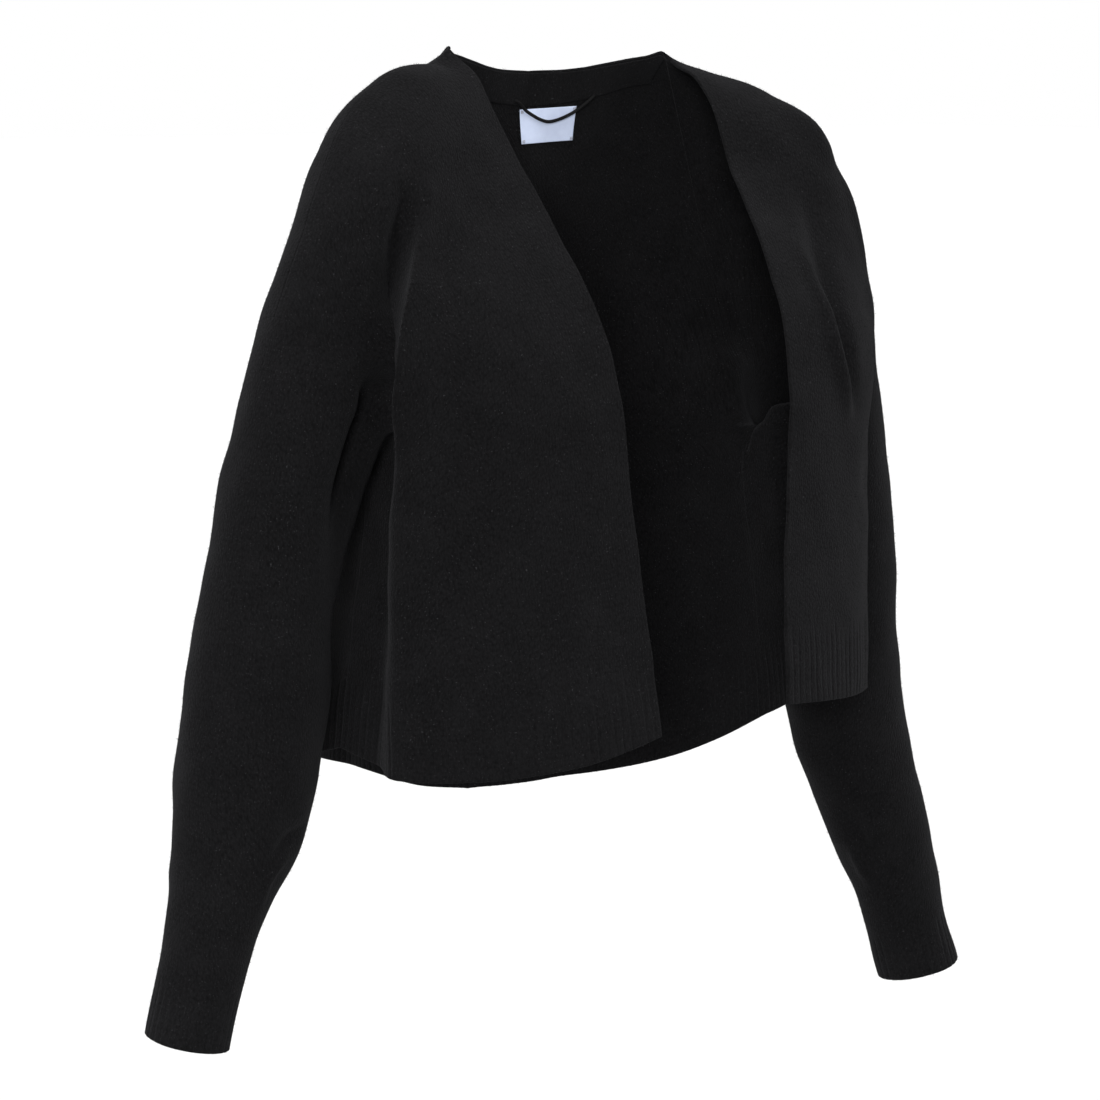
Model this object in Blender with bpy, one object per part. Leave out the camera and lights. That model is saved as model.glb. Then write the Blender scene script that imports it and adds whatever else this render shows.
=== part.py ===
"""A cropped, open-front knitted cardigan with dropped shoulders, filled out as it is when worn.

Metres, +Z up. The wearer would face -Y, and the wearer's left is +X. The origin is midway between
the two neck points, the high points where the shoulder seams meet the neckline.

The cloth follows one smooth form: a torso with squared-off front corners, joined softly to two
tubes that run from the neck over the shoulders and down the arms. Each panel is a grid of points
on that form, and a wall is made from the grid and the same grid moved inwards by the cloth's
thickness.
"""
import math

import bmesh
import bpy
import numpy as np

# Driving dimensions of the cloth
CLOTH_THICKNESS = 0.0024
SEAM_GAP = 0.0003
PATCH_GAP = 0.0006
RIB_HEIGHT = 0.0007
RIB_PITCH = 0.0072
HEM_BAND = 0.060
FACING_WIDTH = 0.028
FACING_THICKNESS = 0.0012
LABEL_SIZE = (0.052, 0.027)
LABEL_THICKNESS = 0.0006
LOOP_DIAMETER = 0.0026

# Driving dimensions of the form
NECK_HALF_WIDTH = 0.110
BACK_NECK_DROP = 0.014
SHOULDER_BLEND = 0.036
BACK_BLEND = 0.075
BACK_BLEND_FADE = 0.035
UNDERARM_BLEND = 0.010
UNDERARM_BLEND_LEVELS = (-0.225, -0.275)
SIDE_FOLD_ANGLES = (11.0, 21.5)
ARMHOLE_TOP_LEVEL = -0.210
UNDERARM_SEARCH = (-0.20, -0.36)
UNDERARM_OUT = (0.17, 0.24)
UNDERARM_FADE = 0.030
UNDERARM_DROP = 0.009
UNDERARM_RISE = 0.014
UNDERARM_EASE = 0.0012
UNDERARM_EASE_TURN = 0.35
SEAM_OFFSET_FADE = 0.14
CORNER_EXTRA = {"right": 0.0, "left": 0.010}
CORNER_EXTRA_LEVEL = 0.20
# Share of a row, from its inner end, where it starts to lean towards the side seam
UNDERARM_SHARE = 0.75
# First share of the front edge below the neck point, and first station of the shoulder's ridge
EDGE_FIRST_SHARE = 0.02
RIDGE_FIRST_STATION = 0.6

# Torso sections. Columns: level, half width at the side, half width at the front corner,
# depth forwards, depth backwards, squareness of the front
TORSO_TABLE = (
    (0.040, 0.080, 0.080, 0.004, 0.010, 2.0),
    (0.000, 0.106, 0.106, 0.008, 0.017, 2.0),
    (-0.030, 0.134, 0.136, 0.026, 0.024, 2.1),
    (-0.060, 0.154, 0.162, 0.048, 0.036, 2.4),
    (-0.100, 0.170, 0.202, 0.079, 0.058, 2.8),
    (-0.150, 0.182, 0.234, 0.110, 0.081, 3.3),
    (-0.200, 0.190, 0.248, 0.136, 0.096, 3.5),
    (-0.250, 0.193, 0.250, 0.150, 0.105, 3.2),
    (-0.300, 0.190, 0.250, 0.154, 0.111, 2.95),
    (-0.350, 0.193, 0.250, 0.157, 0.113, 2.85),
    (-0.420, 0.203, 0.250, 0.162, 0.114, 2.75),
    (-0.520, 0.217, 0.252, 0.175, 0.116, 2.45),
    (-0.640, 0.222, 0.256, 0.180, 0.118, 2.4),
)
BACK_SQUARENESS = 2.3

# Line down the middle of the shoulder and arm. Columns: outwards, forwards (-Y), level,
# half width across the arm, half depth front to back
ARM_TABLE = (
    (0.040, 0.004, -0.054, 0.044, 0.026),
    (0.088, 0.000, -0.061, 0.054, 0.036),
    (0.143, -0.010, -0.077, 0.060, 0.051),
    (0.180, -0.019, -0.096, 0.060, 0.056),
    (0.199, -0.025, -0.124, 0.060, 0.058),
    (0.214, -0.027, -0.160, 0.060, 0.058),
    (0.231, -0.021, -0.206, 0.059, 0.057),
    (0.249, -0.014, -0.264, 0.056, 0.054),
)
# Below the armhole each arm has rows of its own, because the sleeves are pushed up unevenly
LOWER_ARM = {
    "right": (
        (0.268, -0.004, -0.336, 0.051, 0.052),
        (0.281, 0.003, -0.404, 0.048, 0.053),
        (0.286, 0.008, -0.470, 0.052, 0.056),
        (0.295, 0.010, -0.525, 0.052, 0.055),
        (0.307, 0.006, -0.572, 0.047, 0.050),
        (0.324, 0.002, -0.610, 0.037, 0.041),
        (0.345, -0.005, -0.658, 0.031, 0.034),
        (0.363, -0.010, -0.709, 0.031, 0.033),
        (0.374, -0.013, -0.745, 0.031, 0.033),
    ),
    "left": (
        (0.271, -0.007, -0.336, 0.052, 0.053),
        (0.286, -0.002, -0.404, 0.050, 0.054),
        (0.293, 0.002, -0.470, 0.050, 0.053),
        (0.309, 0.003, -0.540, 0.047, 0.049),
        (0.325, 0.002, -0.590, 0.044, 0.046),
        (0.341, -0.001, -0.635, 0.041, 0.043),
        (0.357, -0.005, -0.680, 0.036, 0.037),
        (0.370, -0.008, -0.724, 0.033, 0.035),
        (0.384, -0.013, -0.775, 0.033, 0.034),
    ),
}
CUFF_LEVEL = {"right": -0.715, "left": -0.760}
# The cuff's rim dips towards this turn round the arm, by this share of a row of the arm's table
CUFF_TILT = {"right": 0.20, "left": 0.02}
CUFF_TILT_TURN = 55.0
CUFF_TILT_START = 0.8

# Front edge. Columns: level, distance from the middle
EDGE_TABLE = {
    "right": ((0.0, 0.104), (-0.05, 0.097), (-0.10, 0.090), (-0.16, 0.080), (-0.232, 0.070),
              (-0.31, 0.063), (-0.43, 0.051), (-0.51, 0.045)),
    "left": ((0.0, 0.112), (-0.05, 0.117), (-0.10, 0.115), (-0.16, 0.112), (-0.23, 0.105),
             (-0.31, 0.099), (-0.42, 0.090), (-0.50, 0.085)),
}
# Hem at shares of the way round, where the front edge or centre back is 0 and the side seam is 1.
# Columns: share, level
HEM_TABLE = {
    "right": ((0.0, -0.504), (0.3, -0.522), (0.7, -0.529), (1.0, -0.516)),
    "left": ((0.0, -0.493), (0.3, -0.497), (0.7, -0.504), (1.0, -0.532)),
    "back_right": ((0.0, -0.585), (0.3, -0.575), (0.6, -0.549), (1.0, -0.516)),
    "back_left": ((0.0, -0.585), (0.4, -0.585), (0.75, -0.572), (1.0, -0.532)),
}

# The largest folds, as straight ridges (height above 0) or troughs on the cloth. Columns: out, y
# and level where it starts, the same where it ends, how far it spreads to either side, its height
FOLD_TABLE = {
    "right": (
        (0.222, -0.079, -0.112, 0.248, -0.070, -0.262, 0.020, -0.0050),
        (0.195, -0.116, -0.230, 0.205, -0.118, -0.420, 0.022, -0.0020),
        (0.300, -0.045, -0.572, 0.330, -0.040, -0.590, 0.015, -0.0035),
        (0.303, -0.040, -0.596, 0.322, -0.042, -0.618, 0.009, 0.0022),
        (0.080, 0.078, -0.150, 0.105, 0.110, -0.620, 0.022, 0.0035),
        (0.168, 0.062, -0.300, 0.185, 0.068, -0.620, 0.018, -0.0030),
        (0.335, 0.038, -0.560, 0.300, 0.045, -0.590, 0.014, -0.0030),
    ),
    "left": (
        (0.226, -0.079, -0.112, 0.254, -0.070, -0.262, 0.020, -0.0050),
        (0.154, -0.103, -0.152, 0.179, -0.134, -0.291, 0.011, 0.0030),
        (0.296, -0.036, -0.580, 0.325, -0.042, -0.612, 0.011, -0.0028),
        (0.300, -0.040, -0.606, 0.335, -0.043, -0.636, 0.011, 0.0020),
        (0.092, 0.080, -0.170, 0.080, 0.112, -0.620, 0.024, 0.0030),
        (0.160, 0.066, -0.280, 0.178, 0.072, -0.620, 0.018, -0.0032),
        (0.330, 0.040, -0.575, 0.305, 0.046, -0.600, 0.014, -0.0030),
    ),
}

# Inside the back neck: the facing, the bare label and the loop that hangs in front of it. The
# label's centre is given by its distance from the middle and its level, and its right end is
# turned up by LABEL_TURN degrees.
# Columns of the loop's table: out, level, distance from the back panel's inner face
FACING_INSET = 0.06
FACING_END_COLUMNS = 1
LABEL_CENTRE = (0.0233, -0.0561)
LABEL_TURN = 3.0
LABEL_LINES = 5
LOOP_TABLE = (
    (-0.007, -0.0390, 0.0034),
    (0.004, -0.0465, 0.0040),
    (0.016, -0.0527, 0.0048),
    (0.027, -0.0543, 0.0050),
    (0.044, -0.0500, 0.0045),
    (0.060, -0.0405, 0.0034),
)
LOOP_POINTS = 16

# How finely each piece is divided
FRONT_COLUMNS = 18
NECK_COLUMNS = 5
BACK_COLUMNS = 12
NECK_SHARE = 0.34
UPPER_ROWS = 14
LOWER_ROWS = 7
SLEEVE_COLUMNS = 2 * UPPER_ROWS
SLEEVE_ROWS = 18
CUFF_SHARE = 0.10
# Columns of a rib band that share one column of its plain inner face
RIB_THIN = 4
SHARP_ANGLE = 35.0
# How far columns are drawn towards the side seam, and towards the neck point
SIDE_PULL = 0.25
NECK_PULL = 0.5

# How closely points are found on the form
SURFACE_NUDGE = 0.0004
SETTLE_PASSES = 4
SETTLE_ROUNDS = 8
LONGEST_MOVE = 0.02
RAY_REACH = 0.30
RAY_STEPS = 150
RAY_HALVINGS = 22
UNDERARM_RAYS = 61
UNDERARM_MARGIN = 0.001
STATION_NUDGE = 0.05
SPOT_ROUNDS = 6
SPOT_NUDGE = 0.002
TINY = 1e-9

# Colours and roughness
KNIT_LOOK = ((0.011, 0.011, 0.012), 0.95)
FACING_LOOK = ((0.010, 0.010, 0.011), 0.9)
LABEL_LOOK = ((0.72, 0.75, 0.86), 0.7)
CORD_LOOK = ((0.012, 0.012, 0.013), 0.7)

SIGN = {"right": -1.0, "left": 1.0}
FRONT = -1.0
BACK = 1.0


def smoothstep(x):
    x = np.clip(x, 0.0, 1.0)
    return x * x * (3.0 - 2.0 * x)


def curve_through(xs, ys, x):
    """A smooth curve through the table's rows, with slopes taken from the rows beside each one."""
    xs = np.asarray(xs, float)
    ys = np.asarray(ys, float)
    if xs[0] > xs[-1]:
        xs = xs[::-1]
        ys = ys[::-1]
    x = np.clip(x, xs[0], xs[-1])
    steps = np.diff(xs)
    rises = np.diff(ys, axis=0) / (steps[:, None] if ys.ndim > 1 else steps)
    slopes = np.concatenate([rises[:1], (rises[:-1] + rises[1:]) / 2, rises[-1:]])
    i = np.clip(np.searchsorted(xs, x) - 1, 0, len(xs) - 2)
    step = steps[i]
    t = (x - xs[i]) / step
    if ys.ndim > 1:
        step = step[..., None]
        t = t[..., None]
    return (
        ys[i] * (1 + 2 * t) * (1 - t) ** 2
        + slopes[i] * step * t * (1 - t) ** 2
        + ys[i + 1] * t * t * (3 - 2 * t)
        + slopes[i + 1] * step * t * t * (t - 1)
    )


def table_curve(table, x):
    """Every column after the first, read at x from a table whose first column is x."""
    rows = np.asarray(table, float)
    return curve_through(rows[:, 0], rows[:, 1:], x)


def torso_field(p, side):
    """Distance outside the torso, measured outwards from its upright axis."""
    flank, corner, front, back, square = np.moveaxis(table_curve(TORSO_TABLE, p[..., 2]), -1, 0)
    x = np.abs(p[..., 0])
    y = p[..., 1]
    reach = np.hypot(x, y) + TINY
    forward = np.degrees(np.arctan2(-y, x))
    low, high = SIDE_FOLD_ANGLES
    corner = corner + CORNER_EXTRA[side] * smoothstep(-p[..., 2] / CORNER_EXTRA_LEVEL)
    half_width = flank + (corner - flank) * smoothstep((forward - low) / (high - low))
    is_front = forward > 0.0
    depth = np.where(is_front, front, back)
    power = np.where(is_front, square, BACK_SQUARENESS)
    size = (x / reach / half_width) ** power + (np.abs(y) / reach / depth) ** power
    radius = (size + TINY) ** (-1.0 / power)
    return reach - radius


class Arm:
    """The tube round one shoulder and arm, as a field and as rings."""

    STEPS_PER_ROW = 12

    def __init__(self, side):
        rows = np.array(ARM_TABLE + LOWER_ARM[side])
        self.rows = rows
        self.count = len(rows)
        self.stations = np.linspace(0.0, self.count - 1, (self.count - 1) * self.STEPS_PER_ROW + 1)
        self.samples = self.at(self.stations)
        self.tangents = np.gradient(self.samples[:, :3], self.stations, axis=0)

    def at(self, station):
        return curve_through(np.arange(self.count), self.rows, station)

    def frame(self, station):
        """Centre, outward direction, backward direction, half width and half depth at a station."""
        row = self.at(station)
        ahead = self.at(np.clip(station + STATION_NUDGE, 0, self.count - 1))
        behind = self.at(np.clip(station - STATION_NUDGE, 0, self.count - 1))
        along = ahead[..., :3] - behind[..., :3]
        along /= np.linalg.norm(along, axis=-1, keepdims=True)
        out = np.stack([-along[..., 2], np.zeros_like(along[..., 0]), along[..., 0]], -1)
        out /= np.linalg.norm(out, axis=-1, keepdims=True)
        back = np.cross(out, along)
        return row[..., :3], out, back, row[..., 3], row[..., 4]

    def field(self, p):
        """Distance outside the tube, on the side where x is positive."""
        q = np.array(p, float)
        q[..., 0] = np.abs(q[..., 0])
        flat = q.reshape(-1, 3)
        gaps = ((flat[:, None, :] - self.samples[None, :, :3]) ** 2).sum(-1)
        near = gaps.argmin(1)
        tangent = self.tangents[near]
        offset = ((flat - self.samples[near, :3]) * tangent).sum(-1) / (tangent ** 2).sum(-1)
        step = 1.0 / self.STEPS_PER_ROW
        station = self.stations[near] + np.clip(offset, -step, step)
        centre, out, back, half_width, half_depth = self.frame(np.clip(station, 0, self.count - 1))
        d = flat - centre
        across = (d * out).sum(-1)
        deep = (d * back).sum(-1)
        reach = np.hypot(across, deep) + TINY
        ratio = np.sqrt((across / half_width) ** 2 + (deep / half_depth) ** 2) + TINY
        return (reach * (1.0 - 1.0 / ratio)).reshape(q.shape[:-1])


ARMS = {side: Arm(side) for side in SIGN}


def form_field(p, side):
    """Torso and arm joined softly. The join is tight under the arm, so that the two part there."""
    torso = torso_field(p, side)
    arm = ARMS[side].field(p)
    high, low = UNDERARM_BLEND_LEVELS
    behind = smoothstep(p[..., 1] / BACK_BLEND_FADE)
    blend = SHOULDER_BLEND + (BACK_BLEND - SHOULDER_BLEND) * behind
    blend = blend + (UNDERARM_BLEND - blend) * smoothstep((high - p[..., 2]) / (high - low))
    near = np.clip(1.0 - np.abs(torso - arm) / blend, 0.0, 1.0)
    return np.minimum(torso, arm) - near * near * blend / 4.0


def gradient(field, p):
    parts = []
    for axis in range(3):
        d = np.zeros(3)
        d[axis] = SURFACE_NUDGE
        parts.append((field(p + d) - field(p - d)) / (2 * SURFACE_NUDGE))
    return np.stack(parts, -1)


def settle(field, p):
    """Moves points onto the form by Newton's steps."""
    p = np.array(p, float)
    for _ in range(SETTLE_ROUNDS):
        g = gradient(field, p)
        size = (g * g).sum(-1, keepdims=True) + TINY
        move = -field(p)[..., None] * g / size
        length = np.linalg.norm(move, axis=-1, keepdims=True)
        p += move * np.minimum(1.0, LONGEST_MOVE / (length + TINY))
    return p


def ray(field, start, direction, far=RAY_REACH):
    """The first point where rays that start inside the form leave it."""
    start = np.asarray(start, float)
    direction = direction / np.linalg.norm(direction, axis=-1, keepdims=True)
    distances = np.linspace(0.0, far, RAY_STEPS)
    points = start[..., None, :] + direction[..., None, :] * distances[:, None]
    outside = field(points) > 0.0
    outside[..., -1] = True
    first = np.argmax(outside, axis=-1)
    low = distances[np.maximum(first - 1, 0)]
    high = distances[first]
    for _ in range(RAY_HALVINGS):
        middle = (low + high) / 2
        inside = field(start + direction * middle[..., None]) <= 0.0
        low = np.where(inside, middle, low)
        high = np.where(inside, high, middle)
    return start + direction * ((low + high) / 2)[..., None]


def lengths_along(points):
    return np.concatenate([[0.0], np.cumsum(np.linalg.norm(np.diff(points, axis=0), axis=1))])


def along_curve(points, shares, values=None):
    """Points at shares of the way along a polyline, or the values that go with its points."""
    lengths = lengths_along(points)
    wanted = np.asarray(shares) * lengths[-1]
    values = points if values is None else values
    return np.stack([np.interp(wanted, lengths, values[:, axis]) for axis in range(3)], -1)


class Half:
    """Seams and panel points of one half of the garment, worked out where x is positive."""

    FINE = 97

    def __init__(self, side):
        self.side = side
        self.arm = ARMS[side]
        self.find_underarm()
        self.find_armhole()
        self.find_shoulder()

    def field(self, p):
        return form_field(p, self.side)

    def torso(self, p):
        return torso_field(p, self.side)

    def panel_field(self, p):
        """The joined form above the underarm, and the torso alone below it."""
        joined = self.field(p)
        torso = self.torso(p)
        above = smoothstep((p[..., 2] - self.underarm[2]) / UNDERARM_FADE + 1.0)
        return torso + (joined - torso) * above

    def find_underarm(self):
        """The point under the arm where torso and sleeve part."""
        out = np.linspace(*UNDERARM_OUT, UNDERARM_RAYS)
        top, bottom = UNDERARM_SEARCH
        start = np.stack([out, np.zeros_like(out), np.full_like(out, top)], -1)
        down = np.zeros_like(start)
        down[:, 2] = -1.0
        hits = ray(self.field, start, down, far=top - bottom)
        hits = hits[hits[:, 2] > bottom + UNDERARM_MARGIN]
        parting = hits[np.argmax(hits[:, 2])]
        centre, out, _, half_width, _ = self.arm.frame(self.station_at(parting[2] - UNDERARM_DROP))
        self.underarm = centre - out * half_width

    def station_at(self, level):
        levels = self.arm.rows[:, 2]
        return np.interp(-np.asarray(level), -levels, np.arange(len(levels)))

    def find_armhole(self):
        """The armhole seam: a plane through the underarm point and the shoulder's outer side."""
        centre, out, _, half_width, _ = self.arm.frame(self.station_at(ARMHOLE_TOP_LEVEL))
        top = centre + out * half_width
        self.armhole_middle = (top + self.underarm) / 2
        self.armhole_across = (top - self.underarm) / np.linalg.norm(top - self.underarm)
        self.armhole = {facing: self.armhole_half(facing) for facing in (FRONT, BACK)}
        self.armhole[BACK][0] = self.armhole[FRONT][0]
        self.armhole[BACK][-1] = self.armhole[FRONT][-1]
        self.underarm = self.armhole[FRONT][-1]

    def armhole_half(self, facing):
        """Half of the armhole seam, from the outer side to the underarm point."""
        turn = np.linspace(0.0, math.pi, self.FINE)
        direction = np.cos(turn)[:, None] * self.armhole_across
        direction = direction + np.sin(turn)[:, None] * np.array([0.0, facing, 0.0])
        start = np.broadcast_to(self.armhole_middle, direction.shape)
        return ray(self.field, start, direction)

    def find_shoulder(self):
        """The shoulder seam, from the neck point to the armhole's top."""
        last = self.station_at(ARMHOLE_TOP_LEVEL)
        centre, out, _, _, _ = self.arm.frame(np.linspace(RIDGE_FIRST_STATION, last, self.FINE))
        ridge = ray(self.field, centre, out)
        numbers = np.arange(self.FINE)
        neck = np.interp(NECK_HALF_WIDTH, ridge[:, 0], numbers)
        start = np.array([np.interp(neck, numbers, ridge[:, axis]) for axis in range(3)])
        after = ridge[int(math.ceil(neck)):-1]
        self.shoulder = np.concatenate([[start], after, self.armhole[FRONT][:1]])

    def level_row(self, inner, levels, shares):
        """A row round the torso from an inner point to the side seam, at a level for each share."""
        fine = np.linspace(0.0, 1.0, self.FINE)
        turn = np.arctan2(inner[1], inner[0]) * (1.0 - fine)
        direction = np.stack([np.cos(turn), np.sin(turn), np.zeros_like(turn)], -1)
        start = np.zeros_like(direction)
        start[:, 2] = levels(fine)
        return along_curve(ray(self.torso, start, direction), shares)

    def edge_point(self, level):
        """The front edge at a level: its distance from the middle is in EDGE_TABLE."""
        level = np.asarray(level, float)
        out = table_curve(EDGE_TABLE[self.side], level)[..., 0]
        start = np.stack([out, np.zeros_like(out), level], -1)
        forward = np.zeros_like(start)
        forward[..., 1] = -1.0
        return ray(self.panel_field, start, forward)

    def back_point(self, out, level):
        """A point on the back at a distance from the middle and a level."""
        start = np.stack([out, np.zeros_like(out), level], -1)
        backward = np.zeros_like(start)
        backward[..., 1] = 1.0
        return ray(self.panel_field, start, backward)

    def back_middle(self, levels):
        return self.back_point(np.zeros_like(levels), levels)


def coons(top, bottom, left, right, us, vs):
    """A surface patch between four curves: top and bottom run with u, left and right with v."""
    u = us[None, :, None]
    v = vs[:, None, None]
    ruled = (1 - v) * top[None] + v * bottom[None] + (1 - u) * left[:, None] + u * right[:, None]
    top_ends = (1 - u) * top[0] + u * top[-1]
    bottom_ends = (1 - u) * bottom[0] + u * bottom[-1]
    return ruled - (1 - v) * top_ends - v * bottom_ends


def hem_levels(name, raised=0.0):
    """The hem's level at a share of the way round, or the line that runs above it."""
    return lambda share: table_curve(HEM_TABLE[name], share)[..., 0] + raised


def lower_rows(half, name, facing, us, lower):
    """Rows below the underarm's level, down to the top of the hem band."""
    level = half.underarm[2]
    end = hem_levels(name, HEM_BAND)
    near_side = smoothstep((us - UNDERARM_SHARE) / (1.0 - UNDERARM_SHARE))[:, None]
    rows = []
    for down in lower[1:]:

        def levels(share):
            return level + (end(share) - level) * down

        first = levels(np.array(0.0))
        inner = half.edge_point(first) if facing == FRONT else half.back_middle(first)
        row = half.level_row(inner, levels, us)
        row[0] = inner
        side = side_seam(half, levels(np.array([1.0])))[0]
        rows.append(row + (side - row[-1]) * near_side)
    return np.array(rows)


def settled(half, grid, middle):
    """The grid moved onto the form, with its outline left where it was."""
    moved = grid.copy()
    inside = moved[1:-1, 1:-1]
    for _ in range(SETTLE_PASSES):
        inside[:] = settle(half.panel_field, inside)
        beside = (moved[:-2, 1:-1] + moved[2:, 1:-1] + moved[1:-1, :-2] + moved[1:-1, 2:]) / 4.0
        inside[:] = (inside + beside) / 2.0
    inside[:] = settle(half.panel_field, inside)
    moved[-1] = settle(half.panel_field, middle)
    moved[-1, 0] = middle[0]
    moved[-1, -1] = half.underarm
    return moved


def side_seam(half, levels):
    """Side seam points at levels below the underarm point."""
    start = np.zeros((len(levels), 3))
    start[:, 2] = levels
    direction = np.zeros((len(levels), 3))
    direction[:, 0] = 1.0
    return ray(half.panel_field, start, direction)


def front_grid(half, us, upper, lower):
    """Front panel points: rows run from the shoulder seam to the hem band, columns to the side."""
    level = half.underarm[2]
    neck = half.shoulder[0]
    downs = np.linspace(EDGE_FIRST_SHARE, 1.0, half.FINE)
    edge = half.edge_point(neck[2] + (level - neck[2]) * downs)
    edge = along_curve(np.concatenate([[neck], edge]), upper)
    middle = half.level_row(edge[-1], lambda share: np.full_like(share, level), us)
    middle[0] = edge[-1]
    middle[-1] = half.underarm
    shoulder = along_curve(half.shoulder, us)
    armhole = along_curve(half.armhole[FRONT], upper)
    top = coons(shoulder, middle, edge, armhole, us, upper)
    below = lower_rows(half, half.side, FRONT, us, lower)
    return np.concatenate([settled(half, top, middle), below])


def neck_curve(half, shares):
    """The back neckline from its middle to the neck point."""
    end = half.shoulder[0]
    out = end[0] * np.asarray(shares, float)
    level = -BACK_NECK_DROP + (end[2] + BACK_NECK_DROP) * (out / end[0]) ** 2
    curve = half.back_point(out[:-1], level[:-1])
    return np.concatenate([curve, [end]])


def back_half_grid(half, neck_us, shoulder_us, upper, lower):
    """Half of the back panel, from the centre back to the armhole and the side seam."""
    level = half.underarm[2]
    neck = neck_curve(half, neck_us / neck_us[-1])
    shoulder = along_curve(half.shoulder, shoulder_us)
    us = np.concatenate([neck_us, neck_us[-1] + (1.0 - neck_us[-1]) * shoulder_us[1:]])
    centre = half.back_middle(neck[0, 2] + (level - neck[0, 2]) * upper)
    centre[0] = neck[0]
    middle = half.level_row(centre[-1], lambda share: np.full_like(share, level), us)
    middle[0] = centre[-1]
    middle[-1] = half.underarm
    armhole = along_curve(half.armhole[BACK], upper)
    top = coons(np.concatenate([neck, shoulder[1:]]), middle, centre, armhole, us, upper)
    below = lower_rows(half, "back_" + half.side, BACK, us, lower)
    return np.concatenate([settled(half, top, middle), below])


def hem_grid(half, name, facing, shares, downs):
    """Hem band points from the panel's lower edge down to the hem."""
    rows = []
    for down in downs:
        levels = hem_levels(name, HEM_BAND * (1.0 - down))
        if facing == FRONT:
            inner = half.edge_point(levels(np.array(0.0)))
        else:
            inner = half.back_point(np.array(0.0), levels(np.array(0.0)))
        row = half.level_row(inner, levels, shares)
        row[0] = inner
        rows.append(row)
    return np.array(rows)


def sleeve_station(half, turns, t):
    """Station down the arm at each turn: t is 0 on the armhole seam and 1 at the cuff's end."""
    outer = half.station_at(ARMHOLE_TOP_LEVEL)
    inner = half.station_at(half.underarm[2] + UNDERARM_RISE)
    seam = outer + (inner - outer) * (1.0 - np.cos(turns)) / 2.0
    end = half.station_at(CUFF_LEVEL[half.side])
    lean = np.cos(turns - math.radians(CUFF_TILT_TURN))
    near_cuff = smoothstep((t - CUFF_TILT_START) / (1.0 - CUFF_TILT_START))
    return seam + (end - seam) * t + CUFF_TILT[half.side] * lean * near_cuff


def sleeve_grid(half, turns, ts):
    """Sleeve points: rows are rings from the armhole down, columns go round from the outer side."""
    front = turns <= math.pi
    share = np.where(front, turns, 2 * math.pi - turns) / math.pi
    front_seam = along_curve(half.armhole[FRONT], share)
    back_seam = along_curve(half.armhole[BACK], share)
    seam = np.where(front[:, None], front_seam, back_seam)
    rows = np.array([arm_ring(half, turns, sleeve_station(half, turns, t)) for t in ts])
    offset = seam - arm_ring(half, turns, sleeve_station(half, turns, 0.0))
    fade = 1.0 - smoothstep(ts / SEAM_OFFSET_FADE)
    return rows + offset[None] * fade[:, None, None]


def arm_ring(half, turns, station):
    centre, out, back, half_width, half_depth = half.arm.frame(station)
    return (
        centre
        + np.cos(turns)[:, None] * half_width[:, None] * out
        - np.sin(turns)[:, None] * half_depth[:, None] * back
    )


def draped(grid, normal, side):
    """The grid pushed out along its normals by the folds that pass there."""
    height = np.zeros(grid.shape[:-1])
    for fold in FOLD_TABLE[side]:
        start = np.array(fold[0:3])
        along = np.array(fold[3:6]) - start
        spread, rise = fold[6:8]
        t = np.clip(((grid - start) @ along) / (along @ along), 0.0, 1.0)
        gap = np.linalg.norm(grid - start - t[..., None] * along, axis=-1)
        height += rise * np.exp(-((gap / spread) ** 2))
    return grid + normal * height[..., None]


def trimmed(grid, edges):
    """The grid with the named edges drawn in by half of the seam's gap."""
    grid = grid.copy()
    for edge in edges:
        here, beside = {
            "top": (grid[0], grid[1]),
            "bottom": (grid[-1], grid[-2]),
            "left": (grid[:, 0], grid[:, 1]),
            "right": (grid[:, -1], grid[:, -2]),
        }[edge]
        inwards = beside - here
        inwards /= np.linalg.norm(inwards, axis=-1, keepdims=True)
        here += inwards * SEAM_GAP / 2.0
    return grid


def outward(field, grid):
    normal = gradient(field, grid)
    return normal / np.linalg.norm(normal, axis=-1, keepdims=True)


def shares(count, pull=0.0):
    """Evenly spaced shares from 0 to 1, pulled towards 1 where pull is more than 0."""
    even = np.linspace(0.0, 1.0, count + 1)
    return even + pull * even * (1.0 - even)


def strip_faces(first, second):
    """Faces between two rows, where the first may have several points to each of the second."""
    ratio = (len(first) - 1) // (len(second) - 1)
    faces = []
    for j in range(len(second) - 1):
        if ratio == 1:
            faces.append((first[j], first[j + 1], second[j + 1], second[j]))
            continue
        for i in range(ratio):
            anchor = second[j] if i < ratio // 2 else second[j + 1]
            faces.append((first[j * ratio + i], first[j * ratio + i + 1], anchor))
        faces.append((second[j], second[j + 1], first[j * ratio + ratio // 2]))
    return faces


def wall_object(name, outer, inner, material, around=False):
    """A closed wall between an outer and an inner grid, joined along their edges."""
    mesh = bmesh.new()
    skins = []
    for grid in (outer, inner):
        rows = [[mesh.verts.new(point) for point in row] for row in grid]
        skins.append([row + row[:1] for row in rows] if around else rows)
    faces = []
    for rows in skins:
        for upper, lower in zip(rows[:-1], rows[1:]):
            faces += strip_faces(upper, lower)
    out_rows, in_rows = skins
    faces += strip_faces(out_rows[0], in_rows[0])
    faces += strip_faces(out_rows[-1], in_rows[-1])
    if not around:
        for column in (0, -1):
            faces += strip_faces([row[column] for row in out_rows], [row[column] for row in in_rows])
    for face in faces:
        mesh.faces.new(face)
    bmesh.ops.recalc_face_normals(mesh, faces=mesh.faces)
    return add_object(name, mesh, material)


def add_object(name, mesh, material):
    data = bpy.data.meshes.new(name)
    mesh.to_mesh(data)
    mesh.free()
    data.materials.append(material)
    for polygon in data.polygons:
        polygon.use_smooth = True
    data.set_sharp_from_angle(angle=math.radians(SHARP_ANGLE))
    item = bpy.data.objects.new(name, data)
    COLLECTION.objects.link(item)
    return item


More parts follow.
